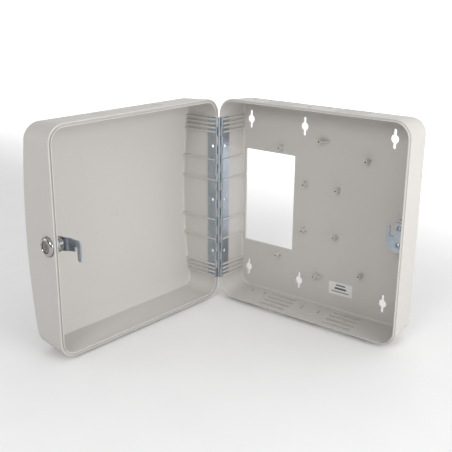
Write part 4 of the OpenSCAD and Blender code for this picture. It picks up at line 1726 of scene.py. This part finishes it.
@dataclass
class Hinge:
    """Continuous hinge: two leaves with rolled knuckles, and the pin with its staked ends."""

    shell: Shell
    sheet: float = 0.95
    pin_r: float = 1.0
    pin_gap: float = 0.05
    pitch: float = 12.7
    pairs: int = 9
    end_gap: float = 0.35
    pin_out: float = 0.5

    def knuckle(self) -> bpy.types.Mesh:
        """One rolled knuckle with the strap that joins it to its leaf, along +Z from 0.

        Returns:
            A closed mesh.
        """
        t, r = self.sheet, self.pin_r + self.pin_gap + self.sheet / 2
        cs = -self.pin_out
        plate_s = self.shell.wall - self.shell.leaf_gap / 2 + t / 2
        bend = 1.0
        line = [(plate_s + 0.016 * 4, 4.0, 0.0)]
        line += [(plate_s - bend + bend * math.cos(a), r + bend - bend * math.sin(a), a)
                 for a in (math.radians(x) for x in (0, 22, 45, 68, 90))]
        line += [(cs + r * math.cos(a), r * math.sin(a), a) for a in
                 (math.radians(90 + 290 * k / 26) for k in range(27))]
        left, right = [], []
        for i, (s, v, _) in enumerate(line):
            before, after = line[max(i - 1, 0)], line[min(i + 1, len(line) - 1)]
            ds, dv = after[0] - before[0], after[1] - before[1]
            run = math.hypot(ds, dv)
            ns, nv = -dv / run, ds / run
            left.append((s + ns * t / 2, v + nv * t / 2))
            right.append((s - ns * t / 2, v - nv * t / 2))
        outline = right + left[::-1]
        area = sum(a[0] * b[1] - b[0] * a[1] for a, b in zip(outline, outline[1:] + outline[:1]))
        outline = outline if area > 0 else outline[::-1]
        return plate("knuckle", outline, 0.0, self.pitch - self.end_gap, 0.12, STRAIGHT, 2)

    def leaf(self, first: int, rows: Rows) -> bpy.types.Mesh:
        """A leaf with every second knuckle.

        Args:
            first: 0 if the leaf has the lowest knuckle, otherwise 1.
            rows: the tool that repeats the knuckles.

        Returns:
            The leaf's mesh in its shell's frame.
        """
        shell, half = self.shell, self.pairs * self.pitch
        length = 2 * half - self.end_gap
        base = shell.wall - shell.leaf_gap / 2
        tilt = math.atan(shell.draft)
        lean, rise = math.sin(tilt), math.cos(tilt)
        to = frame_map((base, 0, 0), (lean, rise, 0), (0, 0, 1), (rise, -lean, 0))
        flat = [(2.35, -length / 2), (shell.leaf_reach, -length / 2), (shell.leaf_reach, length / 2),
                (2.35, length / 2)]
        sheet = plate("leaf", flat, 0.0, self.sheet, 0.15, to, 2)
        start = -half + first * self.pitch + self.end_gap / 2
        knuckles = rows.repeat(self.knuckle(), self.pairs, (0, 0, start), (0, 0, 2 * self.pitch), ZINC)
        through = frame_map((0, shell.hole_v, 0), (0, 0, 1), (0, 1, 0), (1, 0, 0))
        face = base + shell.draft * shell.hole_v
        ring = circle(shell.hole_r - 0.1, 32)
        holes = [opening("leaf_hole", [(x + k * shell.hole_pitch, y) for x, y in ring], face, face + self.sheet,
                         0.12, through, 0.6) for k in (-1, 0, 1)]
        return carve("leaf", sheet, [(Step.ADD, [tidy(knuckles)]), (Step.CUT, holes)])

    def pin(self) -> bpy.types.Mesh:
        """The pin with both ends staked into shallow domes.

        Returns:
            A closed mesh.
        """
        half = self.pairs * self.pitch - self.end_gap
        r = self.pin_r
        start = [(-half, 0.0), (-half, r * 0.55), (-half + 0.25, r * 0.9), (-half + 0.5, r)]
        section = start + [(-h, radius) for h, radius in start[::-1]]
        to = frame_map((-self.pin_out, 0, 0), (1, 0, 0), (0, 1, 0), (0, 0, 1))
        return lathe("pin", section, to, 28)

    def build(self, rows: Rows, base: Seat, door: Seat) -> None:
        """Builds both leaves and the pin and seats them.

        Args:
            rows: the tool that repeats items.
            base: the base's seat.
            door: the door's seat.
        """
        base.put("base_leaf", self.leaf(1, rows), ZINC, "plated_sheet", ["base_hinge_leaf"])
        door.put("door_leaf", self.leaf(0, rows), ZINC, "plated_sheet", ["door_hinge_leaf"])
        base.put("pin", self.pin(), WIRE, "plated_wire", ["hinge_pin"])


# --- Strike plate and label ---------------------------------------------------------------------------------


@dataclass
class Strike:
    """Strike plate with its slot for the hook, and its two cross-recess screws."""

    left: float
    right: float
    low: float
    high: float
    front: float
    thick: float
    edge: float
    screw: float
    screw_z: tuple[float, float]
    slot_floor: float = -1.3
    prong: float = 4.2
    slot: float = 6.2
    prong_top: float = 9.65
    corner: float = 11.0
    head_r: float = 3.6
    head_rise: float = 1.8

    def plate(self) -> bpy.types.Mesh:
        """The stamped plate with rounded rims and its screw holes.

        Returns:
            A closed mesh.
        """
        c, p = self.corner, self.prong / 2
        outline = (arc(self.left + c, self.low + c, c, 180, 270, 12)
                   + arc(self.right - 0.6, self.low + 0.6, 0.6, 270, 360, 3)
                   + arc(self.right - 0.6, self.high - 0.6, 0.6, 0, 90, 3)
                   + arc(self.edge + 1.2, self.high - 1.2, 1.2, 90, 180, 4)
                   + arc(self.edge - 1.0, self.slot_floor + 1.0, 1.0, 0, -90, 4)
                   + arc(self.left + 2 * p + 1.0, self.slot_floor + 1.0, 1.0, -90, -180, 4)
                   + arc(self.left + p, self.prong_top - p + 1.3, p, 0, 180, 8))
        to = frame_map((0, self.front + self.thick, 0), (1, 0, 0), (0, 0, 1), (0, -1, 0))
        sheet = plate("strike", outline, 0.0, self.thick, 0.2, to, 2)
        holes = [opening("hole", [(x + self.screw, y + z) for x, y in circle(2.0, 32)], 0.0, self.thick, 0.15,
                         to, 0.6) for z in self.screw_z]
        return carve("strike", sheet, [(Step.CUT, holes)])

    def one_screw(self, z: float) -> bpy.types.Mesh:
        """Pan head screw with a cross recess turned by 45 degrees.

        Args:
            z: height of the screw's axis.

        Returns:
            A closed mesh.
        """
        r, rise = self.head_r, self.head_rise
        to = frame_map((self.screw, self.front, z), (1, 0, 0), (0, 0, 1), (0, -1, 0))
        section = [(-12.6, 0.0), (-12.2, 0.5), (-10.5, 1.3)]
        for k in range(9):
            h = -10.0 + k * 1.1
            section += [(h - 0.15, 1.35), (h, 1.72), (h + 0.15, 1.35)]
        section += [(-0.8, 1.6), (0.0, 1.75), (0.0, r - 0.15), (0.15, r), (0.7, r - 0.1), (1.2, r - 0.6),
                    (1.6, r - 1.5), (rise, r - 2.6), (rise, 0.0)]
        head = lathe("screw", section, to, 40)
        wings = []
        for turn in (45, 135):
            a = math.radians(turn)
            wing = [(x * math.cos(a) - y * math.sin(a), x * math.sin(a) + y * math.cos(a))
                    for x, y in ((-2.5, -0.5), (2.5, -0.5), (2.5, 0.5), (-2.5, 0.5))]
            small = [(x * 0.55, y * 0.55) for x, y in wing]
            wings.append(make_mesh("wing", [[to(x, y, 0.5) for x, y in small],
                                            [to(x, y, rise + 0.6) for x, y in wing]]))
        cross = carve("cross", wings[0], [(Step.ADD, [wings[1]])])
        return carve("screw", head, [(Step.CUT, [cross])])

    def build(self, seat: Seat) -> None:
        """Builds the plate and its screws and seats them.

        Args:
            seat: where the piece is placed.
        """
        seat.put("strike", self.plate(), ZINC, "plated_sheet", ["strike_plate"])
        screws = joined("screws", [self.one_screw(z) for z in self.screw_z])
        seat.put("screws", screws, SCREW, "plated_screw", ["strike_screws"])


@dataclass
class Label:
    """Adhesive label in the base, with plain bars in place of print."""

    centre: tuple[float, float, float]
    size: tuple[float, float] = (35.5, 17.8)
    thick: float = 0.2
    tilt: float = -1.3

    def build(self, seat: Seat) -> None:
        """Builds the label and seats it.

        Args:
            seat: where the piece is placed.
        """
        a = math.radians(self.tilt)
        s, v, z = self.centre
        to = frame_map((s, v, z), (math.cos(a), 0, -math.sin(a)), (math.sin(a), 0, math.cos(a)), (0, -1, 0))
        mesh = plate("label", rounded_box(*self.size, 1.2, 4), -self.thick / 2, self.thick / 2, 0.06, to, 2)
        low = seat.matrix @ Vector((s - self.size[0] / 2, v, z - self.size[1] / 2))
        film = LabelFilm("printed_film", (0.74, 0.74, 0.73), 0.38, low=tuple(low),
                         size=(self.size[0] * MM, self.size[1] * MM))
        seat.put("label", mesh, film, "label_film", ["blank_label"])


# --- Lock ---------------------------------------------------------------------------------------------------


@dataclass
class CamLock:
    """Wafer cam lock, drawn with its axis on +X, its seat at x = 0 and its hook towards +Y."""

    door: Seat
    core: Seat
    barrel_r: float = 9.5
    flats: float = 15.9
    length: float = 15.5
    head_r: float = 11.8
    head_rise: float = 4.6
    plug_r: float = 6.5
    nut_af: float = 22.2
    nut_t: float = 3.2
    washer_t: float = 1.0
    nut_seat: float = -3.35
    cam_t: float = 2.0
    cam_step: float = 2.15
    reach: float = 29.0
    finger: float = 6.0
    finger_drop: float = 16.0
    hub_r: float = 8.4
    wafers: int = 5
    wafer_pitch: float = 2.2
    cam_gap: float = 0.15
    bolt_washer_t: float = 0.8
    touch: float = 0.02

    def about(self, y: float = 0.0, z: float = 0.0) -> Map:
        """Map for round things on an axis along X.

        Args:
            y: place of the axis across.
            z: place of the axis up.

        Returns:
            The map.
        """
        return frame_map((0, y, z), (0, 1, 0), (0, 0, 1), (1, 0, 0))

    def barrel(self) -> bpy.types.Mesh:
        """Domed head and flatted barrel with its thread and the plug's bore.

        Returns:
            A closed mesh.
        """
        r, rise, back = self.head_r, self.head_rise, self.length
        head = [(0.0, 0.0), (0.0, r - 0.3), (0.25, r), (0.9, r)]
        head += [(0.9 + (rise - 0.9) * math.sin(a), r - 3.6 * (1 - math.cos(a)))
                 for a in (math.radians(x) for x in range(10, 91, 8))]
        head += [(rise, self.plug_r + 1.1), (rise - 0.3, self.plug_r + 0.8), (1.6, self.plug_r + 0.8), (1.6, 0.0)]
        low, crest = self.barrel_r - 0.5, self.barrel_r - 0.02
        thread = [(-back, 0.0), (-back, self.barrel_r - 0.9), (-back + 0.6, low)]
        for k in range(12):
            x = -back + 1.0 + k * 1.0
            thread += [(x, low), (x + 0.35, crest), (x + 0.6, crest), (x + 0.95, low)]
        thread += [(-1.6, low), (-1.2, crest), (0.5, crest), (0.5, 0.0)]
        flats = prism("flats", rounded_box(2 * r, self.flats, 0.5, 3), -back - 1.0, 1.0, self.about())
        stem = carve("stem", lathe("stem", thread, self.about(), 64), [(Step.KEEP, [flats])])
        bore = rod("bore", self.plug_r + 0.05, -back - 1.0, rise + 1.0, self.about(), 56)
        dome = lathe("head", head, self.about(), 72)
        return carve("barrel", dome, [(Step.ADD, [stem]), (Step.CUT, [bore])])

    def washer(self, start: float, thick: float, outer: float, inner: float) -> bpy.types.Mesh:
        """Stamped washer with softened rims.

        Args:
            start: place of its inner face on the axis.
            thick: thickness.
            outer: outer radius.
            inner: radius of its hole.

        Returns:
            A closed mesh.
        """
        e = 0.15
        end = start + thick
        section = [(start, inner + e), (start + e, inner), (end - e, inner), (end, inner + e),
                   (end, outer - e), (end - e, outer), (start + e, outer), (start, outer - e)]
        return lathe("washer", section, self.about(), 56)

    def nut(self) -> bpy.types.Mesh:
        """Hex nut with both faces chamfered.

        Returns:
            A closed mesh.
        """
        start, bore = self.nut_seat - self.washer_t - self.nut_t - 2 * self.touch, self.barrel_r
        end = start + self.nut_t
        r = self.nut_af / 2 / math.cos(math.pi / 6)
        hexagon = [(r * math.cos(k * math.pi / 3), r * math.sin(k * math.pi / 3)) for k in range(6)]
        body = plate("nut", hexagon, start, end, 0.15, self.about(), 2)
        corner = self.nut_af / 2 + 0.25
        cone = [(start - 0.2, 0.0), (start - 0.2, corner - 0.35), (start + 0.75, r + 0.3),
                (end - 0.75, r + 0.3), (end + 0.2, corner - 0.35), (end + 0.2, 0.0)]
        hole = [(start - 1.0, 0.0), (start - 1.0, bore + 1.3), (start + 0.35, bore + 0.05),
                (end - 0.35, bore + 0.05), (end + 1.0, bore + 1.3), (end + 1.0, 0.0)]
        return carve("nut", body, [(Step.KEEP, [lathe("cone", cone, self.about(), 56)]),
                                   (Step.CUT, [lathe("hole", hole, self.about(), 56)])])

    def plug(self) -> bpy.types.Mesh:
        """Plug with its face, keyway, wafer slots and the square that drives the cam.

        Returns:
            A closed mesh.
        """
        r, back = self.plug_r, self.length
        section = [(-back - 0.1, 0.0), (-back - 0.1, r - 0.3), (-back + 0.2, r), (1.7, r), (1.7, r + 0.7),
                   (3.3, r + 0.7), (3.6, r + 0.4), (3.6, 0.0)]
        body = lathe("plug", section, self.about(), 64)
        square = prism("square", rounded_box(6.0, 6.0, 0.4, 3), -back - 0.1 - self.cam_t, -back + 0.5,
                       self.about())
        keyway = [(-0.8, -4.0), (-0.25, -4.0), (-0.25, -2.2), (0.8, -1.6), (0.8, 2.3), (0.2, 2.6), (-0.8, 2.6),
                  (-0.8, 0.4), (-0.35, 0.0), (-0.8, -0.5)]
        slot = prism("keyway", keyway, -4.0, 3.0, self.about())
        dish = lathe("dish", [(3.35, 0.0), (3.35, 3.9), (4.4, 4.9), (4.4, 0.0)], self.about(), 56)
        mouth = make_mesh("mouth", [[self.about()(x * g, y * g - 0.7 * (1 - g), h) for x, y in keyway]
                                    for g, h in ((1.0, 2.9), (1.12, 4.2))])
        cells = [block("cell", (x - 0.55, -2.1, -r - 0.5), (x + 0.55, 2.1, r + 0.5))
                 for x in (self.wafer_x(k) for k in range(self.wafers))]
        bore = rod("tap", 1.55, -back - 3 - self.cam_t, -back + 1.6 - self.cam_t - 0.1, self.about(), 24)
        return carve("plug", body, [(Step.ADD, [square]), (Step.CUT, [slot, *cells]), (Step.CUT, [dish]),
                                    (Step.CUT, [mouth]), (Step.CUT, [bore])])

    def wafer_x(self, k: int) -> float:
        """Place of a wafer along the axis.

        Args:
            k: number of the wafer, from the back.

        Returns:
            The place in millimetres.
        """
        return -self.length + 2.6 + k * self.wafer_pitch

    def wafer(self) -> bpy.types.Mesh:
        """One stamped wafer with its key window and spring notch, about x = 0.

        Returns:
            A closed mesh.
        """
        outline = rounded_box(4.0, 11.4, 0.6, 3)
        body = plate("wafer", outline, -0.45, 0.45, 0.1, self.about(), 2)
        hole = [(x, y - 0.4) for x, y in rounded_box(1.8, 6.0, 0.3, 3)]
        side = [(x + 1.75, y - 3.1) for x, y in rounded_box(1.1, 3.0, 0.2, 3)]
        window, notch = (prism(n, o, -1.0, 1.0, self.about()) for n, o in (("window", hole), ("notch", side)))
        return carve("wafer", body, [(Step.CUT, [window, notch])])

    def cam(self) -> bpy.types.Mesh:
        """Hooked cam, stamped and stepped sideways between its hub and its arm.

        Returns:
            A closed mesh.
        """
        tip, outer = self.finger / 2, self.reach + self.finger
        neck = self.reach - 0.7 - 1.6 - 2.2
        top, turn = 9.2, 4.0
        outline = (arc(0, 0, self.hub_r, 90, 270, 24)
                   + [(4.0, -8.0), (9.2, -7.3), (12.5, -6.7), (16.0, -6.2), (neck - 1.2, -5.2)]
                   + arc(neck - 1.0, -4.2, 1.0, -90, 0, 3)[1:] + arc(neck + 1.2, 0.1, 1.2, 180, 90, 3)
                   + arc(self.reach - 1.2, 0.1, 1.2, 90, 0, 3)
                   + arc(self.reach + tip, tip - self.finger_drop, tip, 180, 360, 16)
                   + arc(outer - turn, top - turn, turn, 0, 90, 8)
                   + [(20.0, top), (16.0, top), (12.5, top), (9.2, top), (4.0, 8.9)])
        hub = -self.length - self.cam_gap
        bends = (9.2, 15.5)

        def to(y: float, z: float, h: float) -> Vector:
            """Steps the flat stamping sideways between the two bends.

            Args:
                y: place across.
                z: place up.
                h: height above its back face.

            Returns:
                The stepped point.
            """
            share = min(1.0, max(0.0, (y - bends[0]) / (bends[1] - bends[0])))
            share = share * share * (3 - 2 * share)
            return Vector((hub - self.cam_t + h - self.cam_step * share, y, z))

        flat = plate("cam", outline, 0.0, self.cam_t, 0.25, STRAIGHT, 2)
        square = prism("square", rounded_box(6.1, 6.1, 0.4, 3), -1.0, self.cam_t + 1.0, STRAIGHT)
        flat = carve("cam", flat, [(Step.CUT, [square])])
        bm = bmesh.new()
        bm.from_mesh(flat)
        for k in range(15):
            y = bends[0] - 0.4 + k * (bends[1] - bends[0] + 0.8) / 14
            bmesh.ops.bisect_plane(bm, geom=bm.verts[:] + bm.edges[:] + bm.faces[:], plane_co=(y, 0, 0),
                                   plane_no=(1, 0, 0), dist=1e-5)
        for vertex in bm.verts:
            vertex.co = to(*vertex.co)
        bmesh.ops.recalc_face_normals(bm, faces=bm.faces)
        bm.to_mesh(flat)
        bm.free()
        return flat

    def cam_screw(self) -> bpy.types.Mesh:
        """Hex head screw that holds the cam, with a chamfered head and a flange.

        Returns:
            A closed mesh.
        """
        start = -self.length - self.cam_gap - self.cam_t - self.bolt_washer_t - 2 * self.touch
        hexagon = [(4 * math.cos(k * math.pi / 3), 4 * math.sin(k * math.pi / 3)) for k in range(6)]
        head = plate("screw", hexagon, start - 2.6, start, 0.12, self.about(), 2)
        cone = [(start - 2.8, 0.0), (start - 2.8, 3.0), (start - 1.9, 4.6), (start + 1.0, 4.6),
                (start + 1.0, 0.0)]
        shank = [(start - 0.5, 0.0), (start - 0.5, 1.5), (start + 5.2, 1.5), (start + 5.5, 1.2),
                 (start + 5.5, 0.0)]
        return carve("cam_bolt", head, [(Step.KEEP, [lathe("cone", cone, self.about(), 48)]),
                                        (Step.ADD, [lathe("shank", shank, self.about(), 28)])])

    def build(self, rows: Rows, coils: Coils) -> None:
        """Builds the lock's pieces and seats them.

        Args:
            rows: the tool that repeats items.
            coils: the tool that winds springs.
        """
        self.door.put("barrel", self.barrel(), CHROME, "lock_chrome", ["lock_barrel"])
        ring = self.washer(self.nut_seat - self.washer_t - self.touch, self.washer_t, self.nut_af / 2 + 0.8,
                           self.barrel_r + 0.15)
        self.door.put("barrel_washer", ring, ZINC, "plated_sheet", ["lock_washer"])
        self.door.put("barrel_nut", self.nut(), SCREW, "plated_screw", ["lock_nut"])
        self.core.put("plug", self.plug(), CORE, "lock_core_metal", ["lock_plug"])
        step = (self.wafer_pitch, 0, 0)
        wafers = rows.repeat(self.wafer(), self.wafers, (self.wafer_x(0), 0, 0), step, BRASS)
        self.core.put("wafers", wafers, BRASS, "wafer_brass", ["lock_wafers"])
        spring = coils.wind("springs", 6.0, 0.28, 2.5, 0.07, WIRE)
        springs = rows.repeat(spring, self.wafers, (self.wafer_x(0), 1.62, -4.35), step, WIRE)
        self.core.put("springs", springs, WIRE, "plated_wire", ["wafer_springs"])
        self.core.put("cam", self.cam(), ZINC, "plated_sheet", ["lock_cam"])
        start = -self.length - self.cam_gap - self.cam_t - self.bolt_washer_t - self.touch
        self.core.put("bolt_washer", self.washer(start, self.bolt_washer_t, 5.6, 1.7), ZINC, "plated_sheet",
                      ["cam_washer"])
        self.core.put("bolt", self.cam_screw(), SCREW, "plated_screw", ["cam_screw"])


# --- Putting it together ------------------------------------------------------------------------------------


def mount(name: str) -> dict[str, Any]:
    """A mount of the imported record.

    Args:
        name: the mount's name.

    Returns:
        Its entry.
    """
    return next(m for m in frame["record"]["mounts"] if m["name"] == name)


def joint(name: str) -> dict[str, Any]:
    """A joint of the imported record.

    Args:
        name: the joint's name.

    Returns:
        Its entry.
    """
    return next(j for j in frame["joints"] if j["name"] == name)


def pattern(name: str, seat: Seat) -> list[Flat]:
    """Places of a bolt pattern's holes in the base's frame.

    Args:
        name: name of the mount.
        seat: the base's seat.

    Returns:
        Pairs (s, z) in millimetres.
    """
    row = mount(name)
    centre = seat.matrix.inverted() @ Vector(row["pos_m"])
    across = row["dims"].get("spacing_x_mm", 0.0)
    sides = (-0.5, 0.5) if across else (0.0,)
    up = row["dims"]["spacing_y_mm"]
    return [(centre.x + i * across, centre.z + j * up) for i in sides for j in (-0.5, 0.5)]


def main() -> None:
    """Builds every piece around the frame."""
    cad_low, cad_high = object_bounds()
    studio = Studio()
    studio.camera()
    studio.build(cad_low.z)
    rows, coils = Rows(), Coils()

    low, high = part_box("base_shell")
    swing, turn = joint("door_hinge"), joint("lock_turn")
    open_turn = Matrix.Rotation(-math.radians(swing["range_deg"][1]), 4, "Z")
    depth = (high.y - low.y) / MM - BaseShell.tongue
    base_seat = Seat("base", Matrix.Translation((low.x, high.y - depth * MM, 0)) @ Matrix.Scale(MM, 4))
    pin = Vector(swing["pos_m"])
    door_seat = Seat("door", Matrix.Translation(pin) @ open_turn @ Matrix.Translation((low.x - pin.x, 0, 0))
                     @ Matrix.Diagonal((MM, -MM, MM, 1)))
    lock_place = Matrix.Translation(Vector(turn["pos_m"])) @ open_turn @ Matrix.Scale(MM, 4)
    lock_at = door_seat.matrix.inverted() @ Vector(turn["pos_m"])
    width, height = (high.x - low.x) / MM, (high.z - low.z) / MM

    strike_low, strike_high = (base_seat.matrix.inverted() @ Vector(p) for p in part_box("strike_plate"))
    screw_low, screw_high = (base_seat.matrix.inverted() @ Vector(p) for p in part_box("strike_screws"))
    head_r, prong, slot = Strike.head_r, Strike.prong, Strike.slot
    strike = Strike(strike_low.x, strike_high.x, strike_low.z, strike_high.z, strike_low.y,
                    strike_high.y - strike_low.y, strike_low.x + prong + slot, (screw_low.x + screw_high.x) / 2,
                    (screw_low.z + head_r, screw_high.z - head_r))
    seats = {"edge": strike.edge, "face": strike_high.y, "low": strike_low.z, "high": strike_high.z,
             "screw": strike.screw, "screw_low": strike.screw_z[0], "screw_high": strike.screw_z[1]}

    base = BaseShell(Side.BASE, width, height, depth, BASE_SKIN, strike=seats,
                     bosses=[*pattern("device_bosses_inner", base_seat),
                             *pattern("device_bosses_outer", base_seat)],
                     pair=pattern("device_bosses_pair", base_seat))
    base.build(rows, base_seat)
    seat_s = width - Shell.wall - Shell.draft * lock_at.y - DoorShell.pad_rise
    door = DoorShell(Side.DOOR, width, height, DOOR_CROWN, DOOR_SKIN, DOOR_BOW, lock_s=lock_at.x,
                     lock_v=lock_at.y, nut_seat=seat_s)
    door.build(rows, door_seat)
    Hinge(base).build(rows, base_seat, door_seat)
    strike.build(base_seat)
    label_low, label_high = (base_seat.matrix.inverted() @ Vector(p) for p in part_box("blank_label"))
    Label(tuple((label_low + label_high) / 2)).build(base_seat)
    lock = CamLock(Seat("door", lock_place), Seat("lock_core", lock_place), nut_seat=door.nut_seat - lock_at.x)
    lock.build(rows, coils)


if __name__ == "__main__":
    main()
